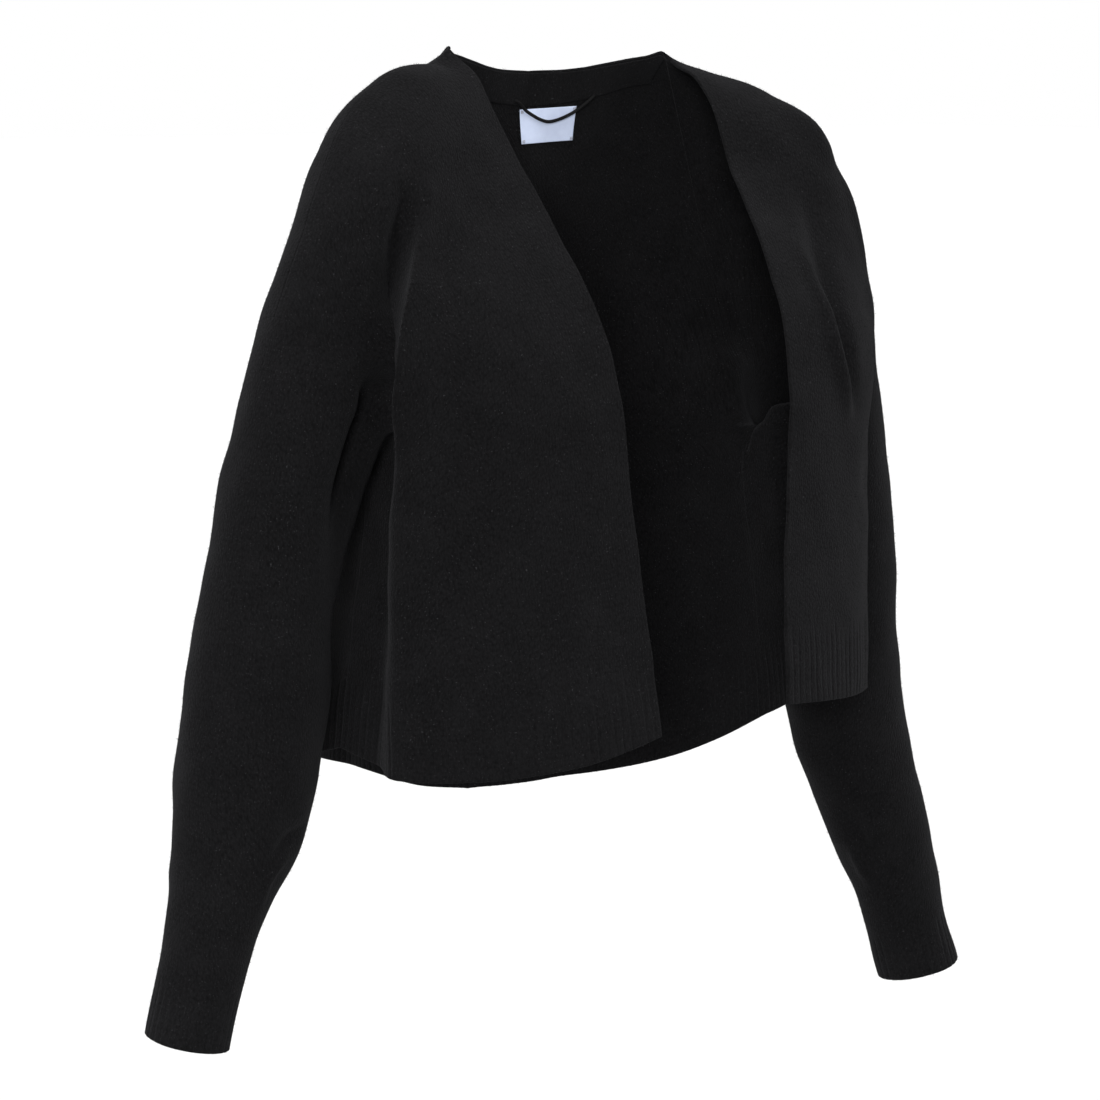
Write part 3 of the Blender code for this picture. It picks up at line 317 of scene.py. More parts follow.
# Folds, as routes over the cloth: ridges, and troughs with heights below 0. Columns: out, y, level,
# how far it spreads, height
FOLDS = {
    "right": (
        ((0.191, -0.076, -0.091, 0.007, 0.0), (0.193, -0.079, -0.105, 0.007, 0.0040),
         (0.196, -0.083, -0.121, 0.007, 0.0080), (0.204, -0.091, -0.150, 0.007, 0.0120),
         (0.214, -0.098, -0.178, 0.007, 0.0140), (0.221, -0.102, -0.206, 0.007, 0.0140),
         (0.224, -0.102, -0.235, 0.007, 0.0110), (0.227, -0.099, -0.260, 0.007, 0.0060),
         (0.229, -0.094, -0.284, 0.007, 0.0)),
        ((0.211, -0.0715, -0.091, 0.006, 0.0), (0.213, -0.0745, -0.105, 0.006, -0.0080),
         (0.2155, -0.0775, -0.121, 0.008, -0.0190), (0.222, -0.083, -0.149, 0.0095, -0.0300),
         (0.231, -0.086, -0.178, 0.010, -0.0360), (0.235, -0.0875, -0.206, 0.010, -0.0360),
         (0.234, -0.083, -0.236, 0.011, -0.0340), (0.232, -0.073, -0.262, 0.013, -0.0280),
         (0.235, -0.064, -0.276, 0.015, -0.0270), (0.2395, -0.0605, -0.295, 0.016, -0.0260),
         (0.245, -0.056, -0.315, 0.017, -0.0210), (0.250, -0.052, -0.340, 0.017, -0.0120),
         (0.254, -0.048, -0.365, 0.016, -0.0050), (0.259, -0.0455, -0.395, 0.015, 0.0)),
        ((0.227, -0.066, -0.095, 0.010, 0.0), (0.236, -0.070, -0.121, 0.013, -0.0030),
         (0.246, -0.072, -0.150, 0.016, -0.0050), (0.252, -0.072, -0.190, 0.018, -0.0060),
         (0.256, -0.068, -0.230, 0.018, -0.0050), (0.258, -0.062, -0.262, 0.016, 0.0)),
        ((0.178, -0.100, -0.150, 0.022, 0.0), (0.196, -0.118, -0.260, 0.022, -0.0022),
         (0.204, -0.120, -0.400, 0.022, -0.0026), (0.208, -0.125, -0.520, 0.020, -0.0020)),
        ((0.276, -0.020, -0.560, 0.006, 0.0), (0.281, -0.033, -0.566, 0.006, -0.0040),
         (0.290, -0.040, -0.570, 0.006, -0.0060), (0.299, -0.040, -0.575, 0.006, -0.0060),
         (0.308, -0.038, -0.584, 0.006, -0.0035), (0.314, -0.036, -0.596, 0.006, 0.0)),
        ((0.292, -0.036, -0.584, 0.005, 0.0), (0.302, -0.040, -0.588, 0.005, 0.0030),
         (0.310, -0.040, -0.598, 0.005, 0.0032), (0.315, -0.039, -0.612, 0.005, 0.0020),
         (0.320, -0.038, -0.630, 0.005, 0.0)),
        ((0.262, -0.046, -0.520, 0.018, 0.0), (0.279, -0.046, -0.545, 0.015, 0.0030),
         (0.296, -0.040, -0.556, 0.014, 0.0)),
        ((0.060, 0.060, -0.120, 0.018, 0.0), (0.085, 0.098, -0.260, 0.022, 0.0045),
         (0.100, 0.110, -0.430, 0.022, 0.0050), (0.106, 0.112, -0.580, 0.020, 0.0030)),
        ((0.110, 0.088, -0.200, 0.016, 0.0), (0.130, 0.098, -0.330, 0.018, -0.0045),
         (0.140, 0.100, -0.560, 0.018, -0.0030)),
        ((0.185, 0.045, -0.180, 0.014, 0.0), (0.178, 0.062, -0.260, 0.014, -0.0050),
         (0.170, 0.080, -0.400, 0.016, -0.0040), (0.178, 0.078, -0.540, 0.014, 0.0)),
        ((-0.030, 0.052, -0.088, 0.030, 0.0), (0.000, 0.053, -0.090, 0.032, -0.0030),
         (0.030, 0.052, -0.088, 0.030, 0.0)),
        ((0.205, 0.030, -0.110, 0.010, 0.0), (0.218, 0.036, -0.145, 0.012, -0.0050),
         (0.222, 0.038, -0.180, 0.012, -0.0060), (0.222, 0.036, -0.215, 0.011, 0.0)),
        ((0.338, 0.030, -0.545, 0.010, 0.0), (0.325, 0.044, -0.565, 0.010, -0.0045),
         (0.305, 0.052, -0.585, 0.010, -0.0040), (0.292, 0.045, -0.600, 0.010, 0.0)),
        ((0.345, 0.020, -0.590, 0.009, 0.0), (0.338, 0.034, -0.606, 0.009, 0.0028),
         (0.322, 0.038, -0.622, 0.009, 0.0024), (0.308, 0.030, -0.632, 0.009, 0.0)),
        ((0.128, -0.004, -0.006, 0.016, 0.0), (0.146, -0.008, -0.014, 0.022, 0.0070),
         (0.168, -0.010, -0.023, 0.025, 0.0100), (0.186, -0.010, -0.031, 0.026, 0.0080),
         (0.201, -0.008, -0.042, 0.026, 0.0065), (0.214, -0.005, -0.055, 0.024, 0.0045),
         (0.230, -0.004, -0.074, 0.022, 0.0)),
        ((0.108, 0.003, -0.001, 0.010, 0.0), (0.098, 0.009, -0.004, 0.012, 0.0045),
         (0.082, 0.018, -0.010, 0.016, 0.0065), (0.062, 0.025, -0.013, 0.018, 0.0055),
         (0.035, 0.032, -0.016, 0.018, 0.0)),
    ),
    "left": (
        ((0.160, -0.096, -0.141, 0.008, 0.0), (0.1566, -0.107, -0.156, 0.008, 0.0020),
         (0.1557, -0.1195, -0.1785, 0.008, 0.0040), (0.1572, -0.1285, -0.2005, 0.007, 0.0055),
         (0.1605, -0.1350, -0.2243, 0.007, 0.0062), (0.1670, -0.1370, -0.2440, 0.007, 0.0055),
         (0.1760, -0.1366, -0.2635, 0.008, 0.0040), (0.1855, -0.1340, -0.2840, 0.009, 0.0)),
        ((0.192, -0.076, -0.090, 0.012, 0.0), (0.186, -0.084, -0.116, 0.015, -0.0050),
         (0.182, -0.095, -0.141, 0.014, -0.0075), (0.176, -0.112, -0.170, 0.012, -0.0080),
         (0.1735, -0.124, -0.199, 0.010, -0.0085), (0.1765, -0.131, -0.224, 0.010, -0.0080),
         (0.1830, -0.133, -0.248, 0.009, -0.0060), (0.194, -0.130, -0.284, 0.009, 0.0)),
        ((0.180, -0.043, -0.038, 0.013, 0.0), (0.190, -0.050, -0.047, 0.014, 0.0040),
         (0.203, -0.058, -0.060, 0.015, 0.0080), (0.2135, -0.0635, -0.077, 0.014, 0.0070),
         (0.222, -0.068, -0.095, 0.012, 0.0)),
        ((0.228, -0.064, -0.090, 0.006, 0.0), (0.234, -0.068, -0.112, 0.007, 0.0030),
         (0.238, -0.073, -0.136, 0.008, 0.0040), (0.241, -0.079, -0.162, 0.008, 0.0038),
         (0.242, -0.085, -0.190, 0.008, 0.0030), (0.241, -0.087, -0.218, 0.008, 0.0018),
         (0.240, -0.086, -0.245, 0.007, 0.0)),
        ((0.236, -0.060, -0.092, 0.006, 0.0), (0.243, -0.061, -0.115, 0.007, -0.0060),
         (0.248, -0.065, -0.140, 0.008, -0.0090), (0.252, -0.068, -0.166, 0.009, -0.0100),
         (0.255, -0.070, -0.195, 0.010, -0.0100), (0.256, -0.068, -0.225, 0.011, -0.0080),
         (0.256, -0.064, -0.255, 0.011, 0.0)),
        ((0.085, 0.000, 0.004, 0.014, 0.0), (0.102, 0.001, 0.002, 0.016, -0.0045),
         (0.118, 0.000, 0.000, 0.016, -0.0040), (0.140, -0.004, -0.004, 0.014, 0.0)),
        ((0.292, -0.030, -0.615, 0.007, 0.0), (0.300, -0.020, -0.636, 0.008, -0.0045),
         (0.310, -0.020, -0.648, 0.008, -0.0040), (0.322, -0.026, -0.660, 0.008, 0.0)),
        ((0.296, -0.022, -0.645, 0.006, 0.0), (0.303, -0.012, -0.654, 0.006, 0.0028),
         (0.312, -0.010, -0.670, 0.006, 0.0026), (0.322, -0.014, -0.690, 0.006, 0.0)),
        ((0.075, 0.062, -0.130, 0.018, 0.0), (0.088, 0.098, -0.270, 0.022, 0.0040),
         (0.084, 0.112, -0.430, 0.024, 0.0045), (0.080, 0.114, -0.580, 0.020, 0.0030)),
        ((0.030, 0.090, -0.220, 0.020, 0.0), (0.028, 0.108, -0.340, 0.024, -0.0035),
         (0.022, 0.114, -0.560, 0.022, -0.0020)),
        ((0.180, 0.050, -0.190, 0.014, 0.0), (0.170, 0.068, -0.280, 0.015, -0.0050),
         (0.165, 0.082, -0.420, 0.017, -0.0045), (0.176, 0.080, -0.550, 0.014, 0.0)),
        ((-0.030, 0.052, -0.088, 0.030, 0.0), (0.010, 0.053, -0.090, 0.032, -0.0040),
         (0.050, 0.048, -0.086, 0.030, 0.0)),
        ((0.206, 0.028, -0.105, 0.010, 0.0), (0.220, 0.035, -0.145, 0.012, -0.0050),
         (0.226, 0.036, -0.180, 0.012, -0.0055), (0.224, 0.034, -0.215, 0.011, 0.0)),
        ((0.335, 0.028, -0.560, 0.010, 0.0), (0.324, 0.040, -0.580, 0.010, -0.0045),
         (0.306, 0.044, -0.600, 0.010, -0.0040), (0.296, 0.036, -0.615, 0.010, 0.0)),
    ),
}
# Crests that lean over a crease. The last column is how far they move along LEAN_DIRECTION
LEANS = {
    "right": (
        ((0.192, -0.078, -0.100, 0.007, 0.0), (0.196, -0.083, -0.121, 0.007, 0.0060),
         (0.204, -0.091, -0.150, 0.007, 0.0110), (0.214, -0.098, -0.178, 0.007, 0.0130),
         (0.221, -0.102, -0.206, 0.007, 0.0135), (0.224, -0.102, -0.235, 0.007, 0.0125),
         (0.227, -0.099, -0.260, 0.007, 0.0100), (0.229, -0.094, -0.284, 0.007, 0.0030),
         (0.230, -0.092, -0.310, 0.007, 0.0)),
    ),
    "left": (
        ((0.1555, -0.1195, -0.1785, 0.008, 0.0), (0.1572, -0.1285, -0.2005, 0.008, -0.0010),
         (0.1605, -0.1350, -0.2243, 0.008, -0.0012), (0.1670, -0.1370, -0.2440, 0.008, -0.0010),
         (0.1760, -0.1366, -0.2635, 0.008, 0.0)),
    ),
}
LEAN_DIRECTION = (-0.768, 0.641, 0.0)
FOLD_STEPS = 6
FOLD_REACH = 3.0


def smoothstep(x):
    x = np.clip(x, 0.0, 1.0)
    return x * x * (3.0 - 2.0 * x)


def curve_through(xs, ys, x):
    """A smooth curve through the table's rows, with slopes taken from the rows beside each one."""
    xs = np.asarray(xs, float)
    ys = np.asarray(ys, float)
    if xs[0] > xs[-1]:
        xs = xs[::-1]
        ys = ys[::-1]
    x = np.clip(x, xs[0], xs[-1])
    steps = np.diff(xs)
    rises = np.diff(ys, axis=0) / (steps[:, None] if ys.ndim > 1 else steps)
    slopes = np.concatenate([rises[:1], (rises[:-1] + rises[1:]) / 2, rises[-1:]])
    i = np.clip(np.searchsorted(xs, x) - 1, 0, len(xs) - 2)
    step = steps[i]
    t = (x - xs[i]) / step
    if ys.ndim > 1:
        step = step[..., None]
        t = t[..., None]
    return (
        ys[i] * (1 + 2 * t) * (1 - t) ** 2
        + slopes[i] * step * t * (1 - t) ** 2
        + ys[i + 1] * t * t * (3 - 2 * t)
        + slopes[i + 1] * step * t * t * (t - 1)
    )


def finer(points, times):
    """The rows of an array, read through a smooth curve at some times as many places."""
    count = len(points) - 1
    return curve_through(np.arange(count + 1), points, np.linspace(0, count, count * times + 1))


def table_curve(table, x):
    """Every column after the first, read at x from a table whose first column is x."""
    rows = np.asarray(table, float)
    return curve_through(rows[:, 0], rows[:, 1:], x)


def torso_field(p, side):
    """Distance outside the torso, measured outwards from its upright axis."""
    flank, corner, front, back, square = np.moveaxis(table_curve(TORSO_TABLE, p[..., 2]), -1, 0)
    x = np.abs(p[..., 0])
    y = p[..., 1]
    reach = np.hypot(x, y) + TINY
    forward = np.degrees(np.arctan2(-y, x))
    low, high = SIDE_FOLD_ANGLES
    corner = corner + CORNER_EXTRA[side] * smoothstep(-p[..., 2] / CORNER_EXTRA_LEVEL)
    half_width = flank + (corner - flank) * smoothstep((forward - low) / (high - low))
    is_front = forward > 0.0
    depth = np.where(is_front, front, back)
    power = np.where(is_front, square, BACK_SQUARENESS)
    size = (x / reach / half_width) ** power + (np.abs(y) / reach / depth) ** power
    radius = (size + TINY) ** (-1.0 / power)
    return reach - radius


class Arm:
    """The tube round one shoulder and arm, as a field and as rings."""

    STEPS_PER_ROW = 12

    def __init__(self, side):
        rows = np.array(ARM_TABLE + LOWER_ARM[side])
        self.rows = rows
        self.count = len(rows)
        self.stations = np.linspace(0.0, self.count - 1, (self.count - 1) * self.STEPS_PER_ROW + 1)
        self.samples = self.at(self.stations)
        self.tangents = np.gradient(self.samples[:, :3], self.stations, axis=0)

    def at(self, station):
        return curve_through(np.arange(self.count), self.rows, station)

    def frame(self, station):
        """Centre, outward direction, backward direction, half width and half depth at a station."""
        row = self.at(station)
        ahead = self.at(np.clip(station + STATION_NUDGE, 0, self.count - 1))
        behind = self.at(np.clip(station - STATION_NUDGE, 0, self.count - 1))
        along = ahead[..., :3] - behind[..., :3]
        along /= np.linalg.norm(along, axis=-1, keepdims=True)
        out = np.stack([-along[..., 2], np.zeros_like(along[..., 0]), along[..., 0]], -1)
        out /= np.linalg.norm(out, axis=-1, keepdims=True)
        back = np.cross(out, along)
        return row[..., :3], out, back, row[..., 3], row[..., 4]

    def field(self, p):
        """Distance outside the tube, on the side where x is positive."""
        q = np.array(p, float)
        q[..., 0] = np.abs(q[..., 0])
        flat = q.reshape(-1, 3)
        gaps = ((flat[:, None, :] - self.samples[None, :, :3]) ** 2).sum(-1)
        near = gaps.argmin(1)
        tangent = self.tangents[near]
        offset = ((flat - self.samples[near, :3]) * tangent).sum(-1) / (tangent ** 2).sum(-1)
        step = 1.0 / self.STEPS_PER_ROW
        station = self.stations[near] + np.clip(offset, -step, step)
        centre, out, back, half_width, half_depth = self.frame(np.clip(station, 0, self.count - 1))
        d = flat - centre
        across = (d * out).sum(-1)
        deep = (d * back).sum(-1)
        reach = np.hypot(across, deep) + TINY
        ratio = np.sqrt((across / half_width) ** 2 + (deep / half_depth) ** 2) + TINY
        return (reach * (1.0 - 1.0 / ratio)).reshape(q.shape[:-1])


ARMS = {side: Arm(side) for side in SIGN}


def form_field(p, side):
    """Torso and arm joined softly. The join is tight under the arm, so that the two part there."""
    torso = torso_field(p, side)
    arm = ARMS[side].field(p)
    high, low = UNDERARM_BLEND_LEVELS
    behind = smoothstep(p[..., 1] / BACK_BLEND_FADE)
    blend = SHOULDER_BLEND + (BACK_BLEND - SHOULDER_BLEND) * behind
    blend = blend + (UNDERARM_BLEND - blend) * smoothstep((high - p[..., 2]) / (high - low))
    near = np.clip(1.0 - np.abs(torso - arm) / blend, 0.0, 1.0)
    return np.minimum(torso, arm) - near * near * blend / 4.0


def gradient(field, p):
    parts = []
    for axis in range(3):
        d = np.zeros(3)
        d[axis] = SURFACE_NUDGE
        parts.append((field(p + d) - field(p - d)) / (2 * SURFACE_NUDGE))
    return np.stack(parts, -1)


def settle(field, p, rounds=SETTLE_ROUNDS):
    """Moves points onto the form by Newton's steps."""
    p = np.array(p, float)
    for _ in range(rounds):
        g = gradient(field, p)
        size = (g * g).sum(-1, keepdims=True) + FLATTEST_SLOPE
        move = -field(p)[..., None] * g / size
        length = np.linalg.norm(move, axis=-1, keepdims=True)
        p += move * np.minimum(1.0, LONGEST_MOVE / (length + TINY))
    return p


def ray(field, start, direction, far=RAY_REACH):
    """The first point where rays that start inside the form leave it."""
    start = np.asarray(start, float)
    direction = direction / np.linalg.norm(direction, axis=-1, keepdims=True)
    distances = np.linspace(0.0, far, RAY_STEPS)
    points = start[..., None, :] + direction[..., None, :] * distances[:, None]
    outside = field(points) > 0.0
    outside[..., -1] = True
    first = np.argmax(outside, axis=-1)
    low = distances[np.maximum(first - 1, 0)]
    high = distances[first]
    for _ in range(RAY_HALVINGS):
        middle = (low + high) / 2
        inside = field(start + direction * middle[..., None]) <= 0.0
        low = np.where(inside, middle, low)
        high = np.where(inside, high, middle)
    return start + direction * ((low + high) / 2)[..., None]


def lengths_along(points):
    return np.concatenate([[0.0], np.cumsum(np.linalg.norm(np.diff(points, axis=0), axis=1))])


def along_curve(points, shares, values=None):
    """Points at shares of the way along a polyline, or the values that go with its points."""
    lengths = lengths_along(points)
    wanted = np.asarray(shares) * lengths[-1]
    values = points if values is None else values
    return np.stack([np.interp(wanted, lengths, values[:, axis]) for axis in range(3)], -1)


class Half:
    """Seams and panel points of one half of the garment, worked out where x is positive."""

    FINE = 97

    def __init__(self, side):
        self.side = side
        self.arm = ARMS[side]
        self.find_underarm()
        self.find_armhole()
        self.find_shoulder()

    def field(self, p):
        return form_field(p, self.side)

    def torso(self, p):
        return torso_field(p, self.side)

    def panel_field(self, p):
        """The joined form above the underarm, and the torso alone below it."""
        joined = self.field(p)
        torso = self.torso(p)
        above = smoothstep((p[..., 2] - self.underarm[2]) / UNDERARM_FADE + 1.0)
        return torso + (joined - torso) * above

    def find_underarm(self):
        """The point under the arm where torso and sleeve part."""
        out = np.linspace(*UNDERARM_OUT, UNDERARM_RAYS)
        top, bottom = UNDERARM_SEARCH
        start = np.stack([out, np.zeros_like(out), np.full_like(out, top)], -1)
        down = np.zeros_like(start)
        down[:, 2] = -1.0
        hits = ray(self.field, start, down, far=top - bottom)
        hits = hits[hits[:, 2] > bottom + UNDERARM_MARGIN]
        parting = hits[np.argmax(hits[:, 2])]
        centre, out, _, half_width, _ = self.arm.frame(self.station_at(parting[2] - UNDERARM_DROP))
        self.underarm = centre - out * half_width

    def station_at(self, level):
        levels = self.arm.rows[:, 2]
        return np.interp(-np.asarray(level), -levels, np.arange(len(levels)))

    def find_armhole(self):
        """The armhole seam: a plane through the underarm point and the shoulder's outer side."""
        centre, out, _, half_width, _ = self.arm.frame(self.station_at(ARMHOLE_TOP_LEVEL))
        top = centre + out * half_width
        self.armhole_middle = (top + self.underarm) / 2
        self.armhole_across = (top - self.underarm) / np.linalg.norm(top - self.underarm)
        self.armhole = {facing: self.armhole_half(facing) for facing in (FRONT, BACK)}
        self.armhole[BACK][0] = self.armhole[FRONT][0]
        self.armhole[BACK][-1] = self.armhole[FRONT][-1]
        self.underarm = self.armhole[FRONT][-1]

    def armhole_half(self, facing):
        """Half of the armhole seam, from the outer side to the underarm point."""
        turn = np.linspace(0.0, math.pi, self.FINE)
        direction = np.cos(turn)[:, None] * self.armhole_across
        direction = direction + np.sin(turn)[:, None] * np.array([0.0, facing, 0.0])
        start = np.broadcast_to(self.armhole_middle, direction.shape)
        return ray(self.field, start, direction)

    def find_shoulder(self):
        """The shoulder seam, from the neck point to the armhole's top."""
        last = self.station_at(ARMHOLE_TOP_LEVEL)
        centre, out, _, _, _ = self.arm.frame(np.linspace(RIDGE_FIRST_STATION, last, self.FINE))
        ridge = ray(self.field, centre, out)
        numbers = np.arange(self.FINE)
        neck = np.interp(NECK_HALF_WIDTH, ridge[:, 0], numbers)
        start = np.array([np.interp(neck, numbers, ridge[:, axis]) for axis in range(3)])
        after = ridge[int(math.ceil(neck)):-1]
        self.shoulder = np.concatenate([[start], after, self.armhole[FRONT][:1]])

    def level_row(self, inner, levels, shares):
        """A row round the torso from an inner point to the side seam, at a level for each share."""
        fine = np.linspace(0.0, 1.0, self.FINE)
        turn = np.arctan2(inner[1], inner[0]) * (1.0 - fine)
        direction = np.stack([np.cos(turn), np.sin(turn), np.zeros_like(turn)], -1)
        start = np.zeros_like(direction)
        start[:, 2] = levels(fine)
        return along_curve(ray(self.torso, start, direction), shares)

    def edge_point(self, level):
        """The front edge at a level: its distance from the middle is in EDGE_TABLE."""
        level = np.asarray(level, float)
        out = table_curve(EDGE_TABLE[self.side], level)[..., 0]
        start = np.stack([out, np.zeros_like(out), level], -1)
        forward = np.zeros_like(start)
        forward[..., 1] = -1.0
        return ray(self.panel_field, start, forward)

    def back_point(self, out, level):
        """A point on the back at a distance from the middle and a level."""
        start = np.stack([out, np.zeros_like(out), level], -1)
        backward = np.zeros_like(start)
        backward[..., 1] = 1.0
        return ray(self.panel_field, start, backward)

    def back_middle(self, levels):
        return self.back_point(np.zeros_like(levels), levels)

    def inner_end(self, facing, level):
        """The inner end of a row: on the front edge, or on the middle of the back."""
        return self.edge_point(level) if facing == FRONT else self.back_middle(level)


def coons(top, bottom, left, right, us, vs):
    """A surface patch between four curves: top and bottom run with u, left and right with v."""
    u = us[None, :, None]
    v = vs[:, None, None]
    ruled = (1 - v) * top[None] + v * bottom[None] + (1 - u) * left[:, None] + u * right[:, None]
    corners = (1 - u) * (1 - v) * top[0] + u * (1 - v) * top[-1]
    corners = corners + (1 - u) * v * bottom[0] + u * v * bottom[-1]
    return ruled - corners


def hem_levels(name, raised=0.0):
    """The hem's level at a share of the way round, or the line that runs above it."""
    return lambda share: table_curve(HEM_TABLE[name], share)[..., 0] + raised


def lower_rows(half, name, facing, us, lower):
    """Rows below the underarm's level, down to the top of the hem band."""
    level = half.underarm[2]
    end = hem_levels(name, HEM_BAND)
    near_side = smoothstep((us - UNDERARM_SHARE) / (1.0 - UNDERARM_SHARE))[:, None]
    rows = []
    for down in lower[1:]:

        def levels(share):
            return level + (end(share) - level) * down

        inner = half.inner_end(facing, levels(np.array(0.0)))
        row = half.level_row(inner, levels, us)
        row[0] = inner
        side = side_seam(half, levels(np.array([1.0])))[0]
        rows.append(row + (side - row[-1]) * near_side)
    return np.array(rows)


def settled(half, grid, middle):
    """The grid moved onto the form, with its outline left where it was."""
    moved = grid.copy()
    inside = moved[1:-1, 1:-1]
    for _ in range(SETTLE_PASSES):
        inside[:] = settle(half.panel_field, inside)
        beside = (moved[:-2, 1:-1] + moved[2:, 1:-1] + moved[1:-1, :-2] + moved[1:-1, 2:]) / 4.0
        inside[:] = (inside + beside) / 2.0
    inside[:] = settle(half.panel_field, inside)
    moved[-1] = settle(half.panel_field, middle)
    moved[-1, 0] = middle[0]
    moved[-1, -1] = half.underarm
    return moved


def side_seam(half, levels):
    """Side seam points at levels below the underarm point."""
    start = np.zeros((len(levels), 3))
    start[:, 2] = levels
    direction = np.zeros((len(levels), 3))
    direction[:, 0] = 1.0
    return ray(half.panel_field, start, direction)


def front_grid(half, us, upper, lower):
    """Front panel points: rows run from the shoulder seam to the hem band, columns to the side."""
    level = half.underarm[2]
    neck = half.shoulder[0]
    downs = np.linspace(EDGE_FIRST_SHARE, 1.0, half.FINE)
    edge = half.edge_point(neck[2] + (level - neck[2]) * downs)
    edge = along_curve(np.concatenate([[neck], edge]), upper)
    middle = half.level_row(edge[-1], lambda share: np.full_like(share, level), us)
    middle[0] = edge[-1]
    middle[-1] = half.underarm
    shoulder = along_curve(half.shoulder, us)
    armhole = along_curve(half.armhole[FRONT], upper)
    top = coons(shoulder, middle, edge, armhole, us, upper)
    below = lower_rows(half, half.side, FRONT, us, lower)
    return np.concatenate([settled(half, top, middle), below])


def neck_curve(half, shares):
    """The back neckline from its middle to the neck point."""
    end = half.shoulder[0]
    out = end[0] * np.asarray(shares, float)
    level = -BACK_NECK_DROP + (end[2] + BACK_NECK_DROP) * (out / end[0]) ** 2
    curve = half.back_point(out[:-1], level[:-1])
    return np.concatenate([curve, [end]])


def back_half_grid(half, neck_us, shoulder_us, upper, lower):
    """Half of the back panel, from the centre back to the armhole and the side seam."""
    level = half.underarm[2]
    neck = neck_curve(half, neck_us / neck_us[-1])
    shoulder = along_curve(half.shoulder, shoulder_us)
    us = np.concatenate([neck_us, neck_us[-1] + (1.0 - neck_us[-1]) * shoulder_us[1:]])
    centre = half.back_middle(neck[0, 2] + (level - neck[0, 2]) * upper)
    centre[0] = neck[0]
    middle = half.level_row(centre[-1], lambda share: np.full_like(share, level), us)
    middle[0] = centre[-1]
    middle[-1] = half.underarm
    armhole = along_curve(half.armhole[BACK], upper)
    top = coons(np.concatenate([neck, shoulder[1:]]), middle, centre, armhole, us, upper)
    below = lower_rows(half, "back_" + half.side, BACK, us, lower)
    return np.concatenate([settled(half, top, middle), below])


def hem_grid(half, name, facing, shares, downs):
    """Hem band points from the panel's lower edge down to the hem."""
    rows = []
    for down in downs:
        levels = hem_levels(name, HEM_BAND * (1.0 - down))
        inner = half.inner_end(facing, levels(np.array(0.0)))
        row = half.level_row(inner, levels, shares)
        row[0] = inner
        rows.append(row)
    return np.array(rows)


def sleeve_station(half, turns, t):
    """Station down the arm at each turn: t is 0 on the armhole seam and 1 at the cuff's end."""
    outer = half.station_at(ARMHOLE_TOP_LEVEL)
    inner = half.station_at(half.underarm[2] + UNDERARM_RISE)
    seam = outer + (inner - outer) * (1.0 - np.cos(turns)) / 2.0
    end = half.station_at(CUFF_LEVEL[half.side])
    lean = CUFF_TILT[half.side] * np.cos(turns - math.radians(CUFF_TILT_TURN))
    return seam + (end - seam) * t + lean * smoothstep((t - CUFF_TILT_START) / CUFF_TILT_LENGTH)


def arm_ring(half, turns, station):
    centre, out, back, half_width, half_depth = half.arm.frame(station)
    return (
        centre
        + np.cos(turns)[:, None] * half_width[:, None] * out
        - np.sin(turns)[:, None] * half_depth[:, None] * back
    )


def outward(field, grid):
    normal = gradient(field, grid)
    return normal / np.linalg.norm(normal, axis=-1, keepdims=True)


def shares(count, pull=0.0):
    """Evenly spaced shares from 0 to 1, pulled towards 1 where pull is more than 0."""
    even = np.linspace(0.0, 1.0, count + 1)
    return even + pull * even * (1.0 - even)


def whole_back(right, left):
    """Both halves of a grid that starts at the centre back, joined into one from right to left."""
    right = right * np.array([-1.0, 1.0, 1.0])
    return np.concatenate([right[:, ::-1], left[:, 1:]], axis=1)


def refined(grid):
    """The grid read through smooth curves, FINER times as finely along its rows and columns."""
    for _ in range(2):
        flat = finer(grid.reshape(len(grid), -1), FINER)
        grid = flat.reshape(len(flat), -1, 3).transpose(1, 0, 2)
    return grid


def fine_grid(half, coarse):
    """The coarse grid made finer, set on the form, and evened out with its outline left in place."""
    grid = settle(half.panel_field, refined(coarse), rounds=FINE_ROUNDS)
    for _ in range(EVEN_PASSES):
        beside = (grid[:-2, 1:-1] + grid[2:, 1:-1] + grid[1:-1, :-2] + grid[1:-1, 2:]) / 4.0
        grid[1:-1, 1:-1] = (grid[1:-1, 1:-1] + beside) / 2.0
    return grid


def fold_sizes(flat, folds):
    """The sum of the last column of the folds near each point, fading with distance from them."""
    total = np.zeros(len(flat))
    for side, routes in folds.items():
        for route in routes:
            route = finer(route, FOLD_STEPS)
            route[:, 0] *= SIGN[side]
            add_fold(flat, route, total)
    return total


def add_fold(flat, route, total):
    """Adds one fold's size to the points near it."""
    reach = FOLD_REACH * route[:, 3].max()
    low = route[:, :3].min(0) - reach
    high = route[:, :3].max(0) + reach
    near = np.flatnonzero(((flat > low) & (flat < high)).all(-1))
    if not len(near):
        return
    points = flat[near]
    gap = np.full(len(points), np.inf)
    size = np.ones((len(points), 2))
    for start, end in zip(route[:-1], route[1:]):
        along = end[:3] - start[:3]
        t = np.clip(((points - start[:3]) @ along) / (along @ along), 0.0, 1.0)
        here = np.linalg.norm(points - start[:3] - t[:, None] * along, axis=-1)
        nearer = here < gap
        gap[nearer] = here[nearer]
        size[nearer] = (start[3:] + t[:, None] * (end[3:] - start[3:]))[nearer]
    total[near] += size[:, 1] * np.exp(-((gap / size[:, 0]) ** 2))


def lump_height(flat):
    """Low waves in all directions, the same on both sides of a seam."""
    chance = np.random.default_rng(11)
    total = np.zeros(len(flat))
    for _ in range(LUMP_WAVES):
        direction = chance.normal(size=3)
        direction /= np.linalg.norm(direction)
        length = chance.uniform(*LUMP_LENGTHS)
        total += np.sin(flat @ direction * 2.0 * math.pi / length + chance.uniform(0.0, 2.0 * math.pi))
    return total * LUMP_HEIGHT / math.sqrt(LUMP_WAVES)


